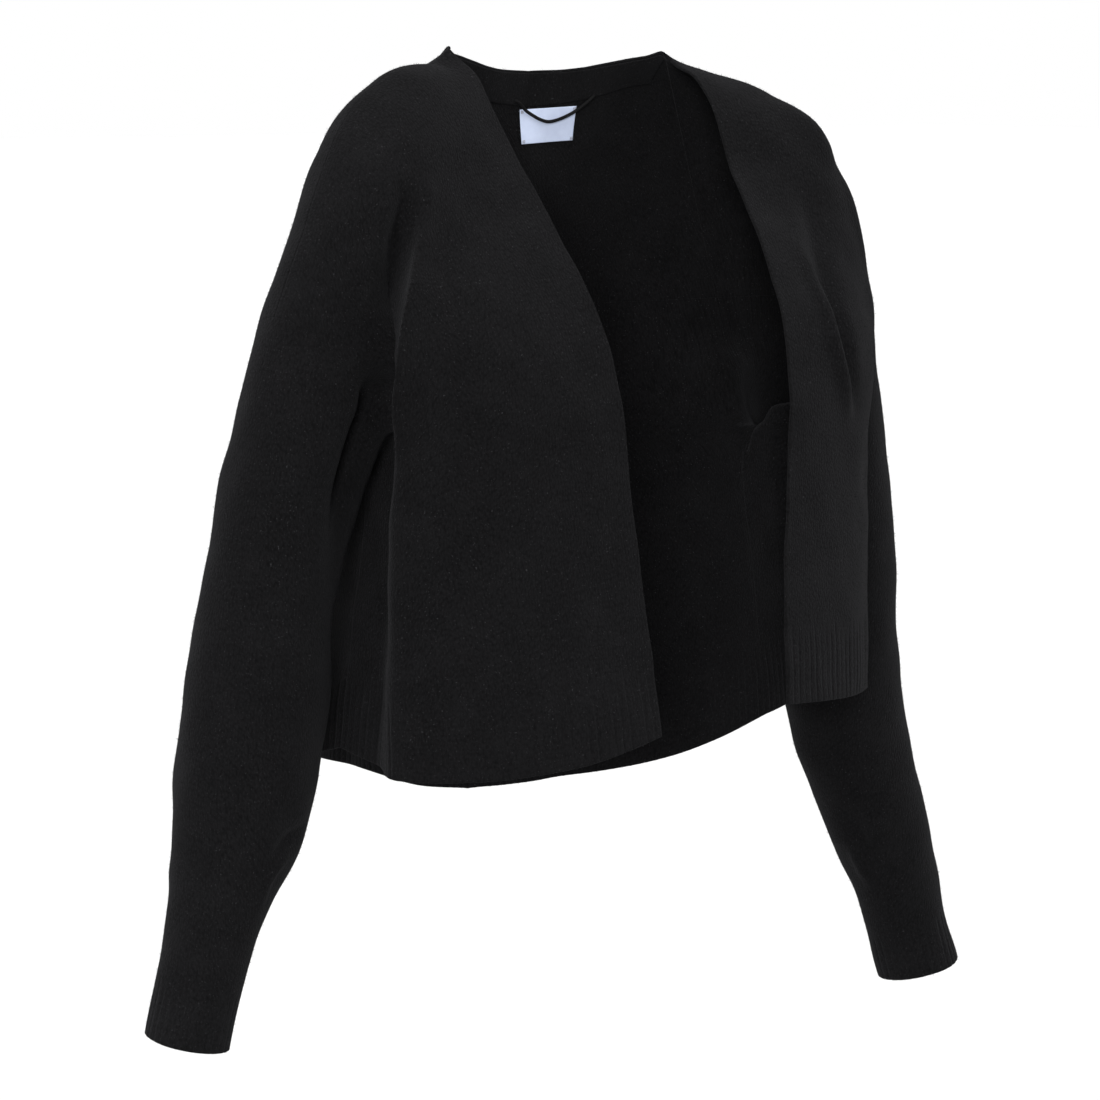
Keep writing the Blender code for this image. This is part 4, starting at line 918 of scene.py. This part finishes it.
def folded(grid, normal, side):
    """The grid of one half, moved out by the folds and the cloth's unevenness, and over by leans."""
    flip = np.array([SIGN[side], 1.0, 1.0])
    flat = (grid * flip).reshape(-1, 3)
    height = fold_sizes(flat, FOLDS) + lump_height(flat)
    lean = fold_sizes(flat, LEANS)[:, None] * np.array(LEAN_DIRECTION) * flip
    return grid + normal * height.reshape(grid.shape[:-1])[..., None] + lean.reshape(grid.shape)


def measured(grid):
    """Distances along each row and down each column, in metres, for the knit's own coordinates."""
    across = np.linalg.norm(np.diff(grid, axis=1), axis=-1)
    down = np.linalg.norm(np.diff(grid, axis=0), axis=-1)
    u = np.concatenate([np.zeros((grid.shape[0], 1)), np.cumsum(across, axis=1)], axis=1)
    v = np.concatenate([np.zeros((1, grid.shape[1])), np.cumsum(down, axis=0)], axis=0)
    return np.stack([u, -v], -1)


def cloth(grid, normal, uv=None, thickness=CLOTH_THICKNESS):
    """Points, normals, knit coordinates and half thickness of a piece of cloth, as one array."""
    uv = measured(grid) if uv is None else uv
    half = np.full(grid.shape[:-1] + (1,), thickness / 2.0)
    return np.concatenate([grid, normal, uv, half], axis=-1)


def with_edge(sheet, edge, free):
    """The cloth with lines added beside an edge: a free one is rounded off, a seam is pinched."""
    if edge in ("left", "right"):
        sheet = sheet.transpose(1, 0, 2)
    if edge in ("bottom", "right"):
        sheet = sheet[::-1]
    gap = np.linalg.norm(sheet[1, :, POINT] - sheet[0, :, POINT], axis=-1)
    lines = []
    for distance in EDGE_LINES if free else SEAM_LINES:
        share = np.minimum(distance / gap, WIDEST_SHARE)[:, None]
        line = sheet[0] + (sheet[1] - sheet[0]) * share
        fall = min(max(distance, 0.0) / (EDGE_ROUND if free else SEAM_ROUND), 1.0)
        round_off = math.sqrt(1.0 - (1.0 - fall) ** 2)
        low = 0.0 if free else SEAM_PINCH
        line[:, HALF_THICKNESS] *= low + (1.0 - low) * round_off
        lines.append(line)
    sheet = np.concatenate([np.array(lines), sheet[1:]])
    if edge in ("bottom", "right"):
        sheet = sheet[::-1]
    if edge in ("left", "right"):
        sheet = sheet.transpose(1, 0, 2)
    return sheet


def wall(name, sheet, side, material, free=(), seams=(), around=False):
    """A piece of cloth with an outer and an inner face, joined along its edges."""
    for edge in free:
        sheet = with_edge(sheet, edge, True)
    for edge in seams:
        sheet = with_edge(sheet, edge, False)
    flip = np.array([SIGN[side], 1.0, 1.0])
    half = sheet[..., HALF_THICKNESS:]
    middle = sheet[..., POINT] - sheet[..., NORMAL] * half.max()
    outer = (middle + sheet[..., NORMAL] * half) * flip
    inner = (middle - sheet[..., NORMAL] * half) * flip
    uv = sheet[..., KNIT_UV]
    rows, columns = half.shape[:2]
    first = np.arange(rows * columns).reshape(rows, columns)
    second = first + rows * columns
    for edge in free:
        second[EDGES[edge]] = first[EDGES[edge]]
    if around:
        last = uv[:, -1:] + (uv[:, -1:] - uv[:, -2:-1])
        uv = np.concatenate([uv, last], axis=1)
        first = np.concatenate([first, first[:, :1]], axis=1)
        second = np.concatenate([second, second[:, :1]], axis=1)
    faces = [quads(first), quads(second)[:, ::-1]]
    places = [quads(uv), quads(uv)[:, ::-1]]
    for edge, spot in EDGES.items():
        if edge in free or (around and edge in ("left", "right")):
            continue
        turn = edge in ("top", "right")
        strip = quads(np.stack([first[spot], second[spot]]))
        place = quads(np.stack([uv[spot], uv[spot]]))
        faces.append(strip if turn else strip[:, ::-1])
        places.append(place if turn else place[:, ::-1])
    faces = np.concatenate(faces)
    places = np.concatenate(places)
    points = np.concatenate([outer.reshape(-1, 3), inner.reshape(-1, 3)])
    if outward_turn(points, faces[0], sheet[0, 0, NORMAL] * flip) < 0.0:
        faces = faces[:, ::-1]
        places = places[:, ::-1]
    return made(name, points, faces, places, material)


def outward_turn(points, face, normal):
    """More than 0 where a face turns outwards."""
    a, b, c = points[face[0]], points[face[1]], points[face[2]]
    return float(np.cross(b - a, c - b) @ normal)


def quads(grid):
    """The four corners of each cell of a grid of indexes or values."""
    cells = np.stack([grid[:-1, :-1], grid[1:, :-1], grid[1:, 1:], grid[:-1, 1:]], axis=2)
    return cells.reshape((-1, 4) + grid.shape[2:])


def made(name, points, faces, places, material):
    """A mesh object of the faces whose corners are apart, with its knit coordinates."""
    used, index = np.unique(faces, return_inverse=True)
    faces = index.reshape(faces.shape)
    data = bpy.data.meshes.new(name)
    data.from_pydata(points[used].tolist(), [], faces.tolist())
    layer = data.uv_layers.new(name="UVMap")
    layer.data.foreach_set("uv", places.reshape(-1))
    data.materials.append(material)
    data.polygons.foreach_set("use_smooth", np.ones(len(faces), bool))
    data.set_sharp_from_angle(angle=math.radians(SHARP_ANGLE))
    item = placed(name, data)
    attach(item, "root")
    return item


def placed(name, data):
    """A new object in the scene."""
    item = bpy.data.objects.new(name, data)
    bpy.context.collection.objects.link(item)
    return item


def flat_size(*grids):
    """Width, length and area of a piece of cloth laid flat, from its own rows and columns."""
    width = max(np.linalg.norm(np.diff(g, axis=1), axis=-1).sum(1).max() for g in grids)
    length = sum(np.linalg.norm(np.diff(g, axis=0), axis=-1).sum(0).max() for g in grids)
    area = 0.0
    for g in grids:
        a = g[1:, 1:] - g[:-1, :-1]
        b = g[1:, :-1] - g[:-1, 1:]
        area += 0.5 * np.linalg.norm(np.cross(a, b), axis=-1).sum()
    return (float(width), float(length)), float(area)


def fibres(name, sheets, side, seed):
    """Short loose fibres that stand out of the felted face, each one a thin triangle."""
    chance = np.random.default_rng(seed)
    points = []
    for sheet in sheets:
        grid = sheet[..., POINT]
        normal = sheet[..., NORMAL]
        _, area = flat_size(grid)
        count = int(area * FIBRES_PER_AREA)
        a = np.linalg.norm(grid[1:, 1:] - grid[:-1, :-1], axis=-1)
        b = np.linalg.norm(grid[1:, :-1] - grid[:-1, 1:], axis=-1)
        weight = (a * b).reshape(-1)
        cell = chance.choice(len(weight), size=count, p=weight / weight.sum())
        i, j = np.divmod(cell, grid.shape[1] - 1)
        u = chance.random((count, 1))
        v = chance.random((count, 1))
        root = (grid[i, j] * (1 - u) * (1 - v) + grid[i, j + 1] * u * (1 - v)
                + grid[i + 1, j] * (1 - u) * v + grid[i + 1, j + 1] * u * v)
        lean = chance.normal(size=(count, 3)) * FIBRE_LEAN
        direction = normal[i, j] + lean
        direction /= np.linalg.norm(direction, axis=-1, keepdims=True)
        length = chance.uniform(*FIBRE_LENGTHS, size=(count, 1))
        length *= chance.uniform(*FIBRE_SHORTENING, size=(count, 1))
        wide = np.cross(direction, chance.normal(size=(count, 3)))
        wide /= np.linalg.norm(wide, axis=-1, keepdims=True)
        root = root - normal[i, j] * FIBRE_ROOT
        points.append(np.stack([
            root - wide * FIBRE_WIDTH / 2, root + wide * FIBRE_WIDTH / 2, root + direction * length
        ], axis=1))
    points = np.concatenate(points).reshape(-1, 3) * np.array([SIGN[side], 1.0, 1.0])
    faces = np.arange(len(points)).reshape(-1, 3)
    places = np.zeros((len(faces), 3, 2))
    return made(name, points, faces, places, FUZZ)


def front_sheets(half):
    """The front panel and its hem band, and the panel's unfolded armhole edge with its normals."""
    coarse = front_grid(half, shares(FRONT_COLUMNS, SIDE_PULL), shares(UPPER_ROWS), shares(LOWER_ROWS))
    grid = fine_grid(half, coarse)
    normal = outward(half.panel_field, grid)
    seam = grid[:UPPER_ROWS * FINER + 1, -1].copy()
    grid = folded(grid, normal, half.side)
    band = band_sheet(half, half.side, FRONT, grid[-1], normal[-1])
    return cloth(grid, normal), band, seam


def back_sheets(half):
    """Half of the back panel with its hem band, and its unfolded armhole edge."""
    neck_us = shares(NECK_COLUMNS, NECK_PULL) * NECK_SHARE
    shoulder_us = shares(BACK_COLUMNS, SIDE_PULL)
    coarse = back_half_grid(half, neck_us, shoulder_us, shares(UPPER_ROWS), shares(LOWER_ROWS))
    grid = fine_grid(half, coarse)
    grid[:, 0, 0] = 0.0
    normal = outward(half.panel_field, grid)
    seam = grid[:UPPER_ROWS * FINER + 1, -1].copy()
    grid = folded(grid, normal, half.side)
    band = band_sheet(half, "back_" + half.side, BACK, grid[-1], normal[-1])
    return (grid, normal), band, seam


def rib_count(row):
    """Whole ribs along a row of points."""
    return int(round(lengths_along(row)[-1] / RIB_PITCH))


def band_sheet(half, name, facing, row, row_normal):
    """Points and normals of a hem band that goes on from the panel's lowest row."""
    across = shares(rib_count(row) * RIB_STEPS)
    downs = shares(RIB_ROWS)
    grid = hem_grid(half, name, facing, across, downs)
    normal = outward(half.torso, grid)
    grid = folded(grid, normal, half.side)
    fade = (1.0 - smoothstep(downs))[:, None, None]
    grid += (along_curve(row, across) - grid[0]) * fade
    normal += (along_curve(row, across, row_normal) - normal[0]) * fade
    normal /= np.linalg.norm(normal, axis=-1, keepdims=True)
    return grid, normal


def grooved(grid, normal, seed):
    """The band with narrow grooves between its ribs, each one fading in at its own level."""
    chance = np.random.default_rng(seed)
    columns = np.arange(grid.shape[1])
    groove = (columns + RIB_STEPS // 2) // RIB_STEPS
    gap = np.abs((columns + RIB_STEPS // 2) % RIB_STEPS - RIB_STEPS // 2) * RIB_PITCH / RIB_STEPS
    depth = chance.uniform(*GROOVE_SHARES, groove.max() + 1)[groove] * RIB_GROOVE
    start = chance.uniform(*RIB_START, groove.max() + 1)[groove]
    down = np.concatenate([[0.0], np.cumsum(np.linalg.norm(np.diff(grid[:, 0], axis=0), axis=-1))])
    shown = smoothstep((down[:, None] - start[None]) / RIB_FADE)
    cut = shown * (depth * np.exp(-((gap / GROOVE_WIDTH) ** 2)))[None]
    return cloth(grid - normal * cut[..., None], normal, measured(grid))


def sleeve_sheets(half, front_seam, back_seam):
    """The sleeve and its cuff. The sleeve's first ring is the panels' armhole."""
    seam = np.concatenate([front_seam, back_seam[-2:0:-1]])
    turns = np.linspace(0.0, 2 * math.pi, len(seam) + 1)[:-1]
    cuff_start = 1.0 - CUFF_SHARE
    ts = shares(SLEEVE_ROWS) * cuff_start
    grid = np.array([arm_ring(half, turns, sleeve_station(half, turns, t)) for t in ts])
    fade = 1.0 - smoothstep(ts / SEAM_OFFSET_FADE)
    grid = grid + (seam - grid[0])[None] * fade[:, None, None]
    normal = outward(half.arm.field, grid)
    normal = normal + (outward(half.field, grid[:1]) - normal) * fade[:, None, None]
    normal /= np.linalg.norm(normal, axis=-1, keepdims=True)
    grid = folded(grid, normal, half.side)
    count = rib_count(np.concatenate([grid[-1], grid[-1][:1]])) * RIB_STEPS
    turns = np.linspace(0.0, 2 * math.pi, count + 1)[:-1]
    ts = cuff_start + shares(CUFF_ROWS) * CUFF_SHARE
    cuff = np.array([arm_ring(half, turns, sleeve_station(half, turns, t)) for t in ts])
    cuff_normal = outward(half.arm.field, cuff)
    return cloth(grid, normal), (folded(cuff, cuff_normal, half.side), cuff_normal)


class Inside:
    """The inner face of the back panel, read between its grid's own points."""

    def __init__(self, grid, normal):
        self.face = grid - normal * CLOTH_THICKNESS
        self.normal = normal
        self.middle = (grid.shape[1] - 1) // 2
        self.down = lengths_along(self.face[:, self.middle])

    def row_down(self, distance):
        return float(np.interp(distance, self.down, np.arange(len(self.down))))

    def spot(self, out, level):
        """Row and column of the place at a distance from the middle and a level."""
        rows = np.arange(self.face.shape[0])
        columns = np.arange(self.face.shape[1])
        column = float(self.middle)
        for _ in range(SPOT_ROUNDS):
            line = self.between(self.face, rows, np.full(len(rows), column))
            row = float(np.interp(-level, -line[:, 2], rows))
            line = self.between(self.face, np.full(len(columns), row), columns)
            column = float(np.interp(out, line[:, 0], columns))
        return row, column

    def between(self, values, rows, columns):
        rows = np.asarray(rows, float)
        columns = np.asarray(columns, float)
        i = np.clip(rows.astype(int), 0, values.shape[0] - 2)
        j = np.clip(columns.astype(int), 0, values.shape[1] - 2)
        down = (rows - i)[..., None]
        over = (columns - j)[..., None]
        upper = values[i, j] * (1 - over) + values[i, j + 1] * over
        lower = values[i + 1, j] * (1 - over) + values[i + 1, j + 1] * over
        return upper * (1 - down) + lower * down

    def patch(self, name, rows, columns, thickness, material, slot, stand_off=0.0):
        """A thin piece that lies on the inner face, or hangs off it towards its lower edge."""
        normal = -self.between(self.normal, rows, columns)
        lift = PATCH_GAP + thickness + stand_off * np.linspace(0.0, 1.0, len(rows))[:, None, None]
        grid = self.between(self.face, rows, columns) + normal * lift
        sheet = cloth(grid, normal, thickness=thickness)
        return wall(name, sheet, "left", material, free=("top", "bottom", "left", "right")), grid


def neck_pieces(inside):
    """Facing and label on the inside of the back neck."""
    reach = NECK_COLUMNS * FINER - FACING_END_COLUMNS
    rows = np.linspace(FACING_INSET * FINER, inside.row_down(FACING_WIDTH), PATCH_LINES)
    columns = np.linspace(inside.middle - reach, inside.middle + reach, FACING_LINES)
    rows, columns = np.meshgrid(rows, columns, indexing="ij")
    name = "visual_neck_facing"
    facing, facing_grid = inside.patch(name, rows, columns, FACING_THICKNESS, FACING, "facing")
    rows, columns = label_lines(inside)
    label, label_grid = inside.patch(
        "visual_label", rows, columns, LABEL_THICKNESS, LABEL, "label", LABEL_STAND_OFF,
    )
    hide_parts("neck_facing")
    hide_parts("label")
    declare(facing, [facing_grid], [])
    declare(label, [label_grid], [corner_stitches(label_grid)])


def label_lines(inside):
    """Rows and columns of the label's points: a rectangle laid on the inner face."""
    out, level = LABEL_CENTRE
    spots = (inside.spot(out, level), inside.spot(out + SPOT_NUDGE, level),
             inside.spot(out, level - SPOT_NUDGE))
    centre, beside, below = (inside.between(inside.face, *spot) for spot in spots)
    level_line = (beside - centre) / np.linalg.norm(beside - centre)
    slope = below - centre
    slope -= level_line * (slope @ level_line)
    slope /= np.linalg.norm(slope)
    turn = math.radians(LABEL_TURN)
    across = level_line * math.cos(turn) - slope * math.sin(turn)
    down = slope * math.cos(turn) + level_line * math.sin(turn)
    width, height = LABEL_SIZE
    rows = np.zeros((PATCH_LINES, PATCH_LINES))
    columns = np.zeros((PATCH_LINES, PATCH_LINES))
    shift = np.linspace(-0.5, 0.5, PATCH_LINES)
    for i in range(PATCH_LINES):
        for j in range(PATCH_LINES):
            place = centre + across * shift[j] * width + down * shift[i] * height
            rows[i, j], columns[i, j] = inside.spot(place[0], place[2])
    return rows, columns


def corner_stitches(grid):
    """Short stitches of thread that hold the label down at its corners."""
    points = []
    faces = []
    for i, j, di, dj in ((0, 0, 1, 1), (0, -1, 1, -1), (-1, 0, -1, 1), (-1, -1, -1, -1)):
        corner = grid[i, j]
        across = grid[i, j + dj * 2] - corner
        across /= np.linalg.norm(across)
        down = grid[i + di * 2, j] - corner
        down /= np.linalg.norm(down)
        rise = np.cross(across, down)
        rise *= np.sign(rise @ np.array([0.0, -1.0, 0.0]))
        for step in range(STITCHES):
            start = corner + across * (STITCH_PLACE[0] + step * STITCH_PITCH) + down * STITCH_PLACE[1]
            reach = down * STITCH_REACH[1] + across * STITCH_REACH[0]
            add_stitch(points, faces, start, reach, across, rise)
    faces = np.array(faces)
    places = np.zeros((len(faces), 4, 2))
    return made("visual_label_stitches", np.array(points), faces, places, THREAD)


def add_stitch(points, faces, start, reach, across, rise):
    """Adds one stitch: a thin tube that rises from the label and comes back to it."""
    first = len(points)
    for share in np.linspace(0.0, 1.0, STITCH_RINGS):
        middle = start + reach * share + rise * STITCH_RISE * math.sin(math.pi * share)
        for turn in range(STITCH_SIDES):
            angle = 2.0 * math.pi * turn / STITCH_SIDES
            spoke = across * math.cos(angle) + rise * math.sin(angle)
            points.append(middle + spoke * STITCH_RADIUS)
    for ring in range(STITCH_RINGS - 1):
        for turn in range(STITCH_SIDES):
            a = first + ring * STITCH_SIDES + turn
            b = first + ring * STITCH_SIDES + (turn + 1) % STITCH_SIDES
            faces.append((a, b, b + STITCH_SIDES, a + STITCH_SIDES))


def declare(piece, grids, with_pieces):
    """Works out the flat size and area of the piece's grids, and does nothing more with them."""
    size, area = flat_size(*grids)
    area = min(area, size[0] * size[1])


def loop_cord():
    """The hanging loop, a cord that hangs as the CAD part's does, with its ends tucked in."""
    fine = finer(LOOP_ROUTE, LOOP_STEPS)
    data = bpy.data.curves.new("visual_hanging_loop", "CURVE")
    data.dimensions = "3D"
    data.bevel_depth = LOOP_DIAMETER / 2.0
    data.bevel_resolution = LOOP_ROUNDNESS
    data.use_fill_caps = True
    spline = data.splines.new("POLY")
    spline.points.add(len(fine) - 1)
    for spot, point in zip(spline.points, fine):
        spot.co = (*point, 1.0)
    data.materials.append(CORD)
    cord = placed("visual_hanging_loop", data)
    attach(cord, "root")
    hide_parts("hanging_loop")
    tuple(LOOP_ROUTE[0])


def point_at(item, turn, down):
    """Turns a camera or lamp to look down by an angle, at a turn in degrees from +Y towards +X."""
    turn = math.radians(turn)
    down = math.radians(down)
    ahead = Vector((math.sin(turn) * math.cos(down), math.cos(turn) * math.cos(down), -math.sin(down)))
    item.rotation_mode = "QUATERNION"
    item.rotation_quaternion = ahead.to_track_quat("-Z", "Y")


def photo_camera():
    """The camera that saw the garment as the photograph does."""
    data = bpy.data.cameras.new("photo_camera")
    data.sensor_width = SENSOR_WIDTH
    data.lens = FOCAL_PIXELS * SENSOR_WIDTH / PHOTO_PIXELS
    camera = placed("photo_camera", data)
    camera.location = CAMERA_PLACE
    point_at(camera, CAMERA_TURN, CAMERA_DOWN)
    bpy.context.scene.camera = camera


class Nodes:
    """Short calls to make a material's nodes and join them."""

    def __init__(self, name):
        self.material = bpy.data.materials.new(name)
        self.material.use_nodes = True
        self.tree = self.material.node_tree
        self.shader = self.tree.nodes["Principled BSDF"]

    def add(self, kind, inputs=None, **settings):
        node = self.tree.nodes.new(kind)
        for key, value in settings.items():
            setattr(node, key, value)
        for key, value in (inputs or {}).items():
            self.give(node.inputs[key], value)
        return node

    def give(self, socket, value):
        if isinstance(value, bpy.types.NodeSocket):
            self.tree.links.new(value, socket)
        else:
            socket.default_value = value

    def maths(self, operation, first, second):
        return self.add("ShaderNodeMath", {0: first, 1: second}, operation=operation).outputs[0]

    def total(self, *terms):
        """The sum of the terms, each one a value and its weight."""
        weighted = [self.maths("MULTIPLY", value, weight) for value, weight in terms]
        first = weighted[0]
        for second in weighted[1:]:
            first = self.maths("ADD", first, second)
        return first

    def noise(self, vector, scale, detail=2.0, roughness=0.5):
        inputs = {"Vector": vector, "Scale": scale, "Detail": detail, "Roughness": roughness}
        return self.add("ShaderNodeTexNoise", inputs).outputs["Fac"]

    def stretched(self, vector, scale):
        return self.add("ShaderNodeMapping", {"Vector": vector, "Scale": scale}).outputs[0]

    def ramp(self, value, stops):
        node = self.add("ShaderNodeValToRGB", {"Fac": value})
        ramp = node.color_ramp
        for _ in stops[2:]:
            ramp.elements.new(0.5)
        for element, (place, colour) in zip(ramp.elements, stops):
            element.position = place
            element.color = (*colour, 1.0)
        return node.outputs["Color"]

    def finish(self, settings):
        for key, value in settings.items():
            self.give(self.shader.inputs[key], value)
        return self.material


def grey(value):
    return (value, value * GREY_GREEN, value * GREY_BLUE)


def felted_knit(name, dark, light, stitch=1.0):
    """Black felted wool: stitches that show faintly through matted fibres, with pale specks."""
    n = Nodes(name)
    coordinates = n.add("ShaderNodeTexCoord")
    uv = coordinates.outputs["UV"]
    place = coordinates.outputs["Object"]
    bend = n.noise(place, BEND_SCALE)
    bends = {axis: n.maths("MULTIPLY", bend, size) for axis, size in zip("XY", STITCH_BEND)}
    shift = n.add("ShaderNodeCombineXYZ", bends).outputs[0]
    bent = n.add("ShaderNodeVectorMath", {0: uv, 1: shift}, operation="ADD").outputs[0]
    cells = n.add("ShaderNodeTexVoronoi", {
        "Vector": n.stretched(bent, STITCHES_PER_METRE), "Scale": 1.0, "Randomness": 0.7,
    }, voronoi_dimensions="2D").outputs["Distance"]
    fine = n.noise(place, FINE_SCALE, 3.0, 0.65)
    matted = n.noise(n.stretched(place, (1.0, 1.0, 0.5)), MATTED_SCALE, 3.0, 0.6)
    broad = n.noise(place, BROAD_SCALE, 3.0, 0.55)
    bare, speck = SPECK_EDGES
    specks = n.ramp(n.noise(place, MATTED_SCALE, 1.0, 0.4), ((bare, (0.0,) * 3), (speck, (1.0,) * 3)))
    height = n.total((cells, -0.9 * stitch), (fine, 0.8), (matted, 0.8))
    bump = n.add("ShaderNodeBump", {"Strength": 0.7, "Distance": 0.0006, "Height": height})
    tone = n.total((matted, 0.9), (cells, -0.35 * stitch), (broad, 0.35))
    colour = n.ramp(tone, ((0.28, grey(dark)), (0.75, grey(light))))
    shown = n.maths("MULTIPLY", specks, SPECK_SHARE)
    speckled = n.add("ShaderNodeMix", {
        0: shown, 6: colour, 7: (*grey(SPECK_COLOUR), 1.0),
    }, data_type="RGBA")
    return n.finish({
        "Base Color": speckled.outputs[2], "Roughness": 0.92, "Specular IOR Level": 0.05,
        "Sheen Weight": 0.035, "Sheen Roughness": 0.55, "Sheen Tint": (0.75, 0.75, 0.8, 1.0),
        "Normal": bump.outputs[0],
    })


def woven_label(name):
    """Bluish white satin ribbon with a fine weave and nothing on it."""
    n = Nodes(name)
    uv = n.add("ShaderNodeTexCoord").outputs["UV"]
    warp = n.add("ShaderNodeTexWave", {
        "Vector": uv, "Scale": WARP_SCALE, "Distortion": 0.6, "Detail": 1.0,
    }, bands_direction="Y").outputs["Fac"]
    weft = n.add("ShaderNodeTexWave", {
        "Vector": uv, "Scale": WEFT_SCALE, "Distortion": 0.4, "Detail": 1.0,
    }, bands_direction="X").outputs["Fac"]
    weave = n.total((warp, 0.6), (weft, 0.4))
    tone = n.total((weave, 0.5), (n.noise(uv, SATIN_SCALE), 0.5))
    dark, light = LABEL_COLOURS
    colour = n.ramp(tone, ((0.2, dark), (0.8, light)))
    bump = n.add("ShaderNodeBump", {"Strength": 0.35, "Distance": 0.00015, "Height": weave})
    return n.finish({
        "Base Color": colour, "Roughness": 0.62, "Sheen Weight": 0.1, "Normal": bump.outputs[0],
    })


def twisted_cord(name, dark, light):
    """Black braided cord."""
    n = Nodes(name)
    place = n.add("ShaderNodeTexCoord").outputs["Object"]
    strands = n.add("ShaderNodeTexWave", {
        "Vector": n.stretched(place, (1.0, 1.0, 1.4)), "Scale": STRAND_SCALE, "Distortion": 1.5,
        "Detail": 1.0,
    }, bands_direction="DIAGONAL").outputs["Fac"]
    fine = n.noise(place, CORD_SCALE)
    height = n.total((strands, 1.0), (fine, 0.4))
    bump = n.add("ShaderNodeBump", {"Strength": 0.6, "Distance": 0.0003, "Height": height})
    colour = n.ramp(strands, ((0.1, grey(dark)), (0.9, grey(light))))
    return n.finish({
        "Base Color": colour, "Roughness": 0.7, "Specular IOR Level": 0.12, "Normal": bump.outputs[0],
    })


def plain_fibre(name, dark, light):
    """Single fibres, some of them paler."""
    n = Nodes(name)
    place = n.add("ShaderNodeTexCoord").outputs["Object"]
    colour = n.ramp(n.noise(place, FIBRE_SCALE, 1.0), ((0.40, grey(dark)), (0.68, grey(light))))
    return n.finish({"Base Color": colour, "Roughness": 0.9, "Specular IOR Level": 0.1})


def pale_floor():
    """A wide plain floor, far enough below to stay out of the garment's light."""
    corners = ((-1, -1), (1, -1), (1, 1), (-1, 1))
    points = [(x * FLOOR_SIZE, y * FLOOR_SIZE, FLOOR_LEVEL) for x, y in corners]
    data = bpy.data.meshes.new("floor")
    data.from_pydata(points, [], [(0, 1, 2, 3)])
    floor = placed("floor", data)
    n = Nodes("pale_floor")
    place = n.add("ShaderNodeTexCoord").outputs["Object"]
    dark, light = FLOOR_TONES
    colour = n.ramp(n.noise(place, FLOOR_SCALE), ((0.3, (dark,) * 3), (0.7, (light,) * 3)))
    data.materials.append(n.finish({"Base Color": colour, "Roughness": 1.0, "Specular IOR Level": 0.0}))
    floor.visible_diffuse = False


def soft_light(name, turn, height, strength, width):
    """A wide, distant lamp, with the turn and height of the place that its light comes from."""
    data = bpy.data.lights.new(name, "SUN")
    data.energy = strength
    data.angle = math.radians(width)
    point_at(placed(name, data), 180.0 - turn, height)


def studio():
    """A white room, whose walls look white and give only a little light of their own."""
    world = bpy.data.worlds.new("studio")
    world.use_nodes = True
    tree = world.node_tree
    background = tree.nodes["Background"]
    background.inputs["Color"].default_value = (1.0, 1.0, 1.0, 1.0)
    path = tree.nodes.new("ShaderNodeLightPath")
    strength = tree.nodes.new("ShaderNodeMapRange")
    strength.inputs["To Min"].default_value = WORLD_LIGHT
    strength.inputs["To Max"].default_value = WORLD_SEEN
    tree.links.new(path.outputs["Is Camera Ray"], strength.inputs["Value"])
    tree.links.new(strength.outputs["Result"], background.inputs["Strength"])
    bpy.context.scene.world = world
    bpy.context.scene.view_settings.view_transform = "Standard"
    for row in LIGHTS:
        soft_light(*row)
    pale_floor()


def dressed(side, name, sheets, band_names, free, seams, seed, around=False):
    """A panel with its ribbed band and loose fibres.

    sheets, free and seams hold first what is the panel's and then what is the band's, and
    band_names hold the band's piece and the CAD node that it stands for.
    """
    piece = wall("visual_" + name, sheets[0], side, KNIT, free[0], seams[0], around)
    band = wall(band_names[0], sheets[1], side, RIB, free[1], seams[1], around)
    fuzz = fibres("visual_fuzz_" + name, sheets, side, seed=seed)
    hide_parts(name)
    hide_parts(band_names[1])
    grid = sheets[0][..., POINT]
    if around:
        grid = np.concatenate([grid, grid[:, :1]], axis=1)
    declare(piece, [grid], [band, fuzz])


def garment():
    """Every piece but the loop: the fronts and sleeves, the back, and what lies inside its neck."""
    backs = {}
    bands = {}
    for side in SIGN:
        half = Half(side)
        panel, band, front_seam = front_sheets(half)
        dressed(
            side, "front_" + side, (panel, grooved(*band, seed=21)),
            ("visual_hem_front_" + side, "hem_rib_front_" + side),
            free=(("left",), ("left", "bottom")), seams=(("top", "right"), ("right",)), seed=31,
        )
        backs[side], bands[side], back_seam = back_sheets(half)
        panel, band = sleeve_sheets(half, front_seam, back_seam)
        dressed(
            side, "sleeve_" + side, (panel, grooved(*band, seed=22)),
            ("visual_cuff_" + side, "cuff_" + side),
            free=((), ("bottom",)), seams=(("top",), ()), seed=33, around=True,
        )
    grid, normal = (whole_back(*halves) for halves in zip(backs["right"], backs["left"]))
    band = (whole_back(*halves) for halves in zip(bands["right"], bands["left"]))
    dressed(
        "left", "back", (cloth(grid, normal), grooved(*band, seed=23)),
        ("visual_hem_back", "hem_rib_back"),
        free=(("top",), ("bottom",)), seams=(("left", "right"), ("left", "right")), seed=35,
    )
    neck_pieces(Inside(grid, normal))


KNIT = felted_knit("felted_knit", *WOOL_TONES)
RIB = felted_knit("felted_rib", *WOOL_TONES, stitch=RIB_STITCH)
FACING = felted_knit("neck_facing_knit", *FACING_TONES, stitch=FACING_STITCH)
FUZZ = plain_fibre("wool_fibre", *FIBRE_TONES)
LABEL = woven_label("woven_label")
THREAD = plain_fibre("label_thread", *THREAD_TONES)
CORD = twisted_cord("loop_cord", *CORD_TONES)

photo_camera()
loop_cord()
garment()
studio()
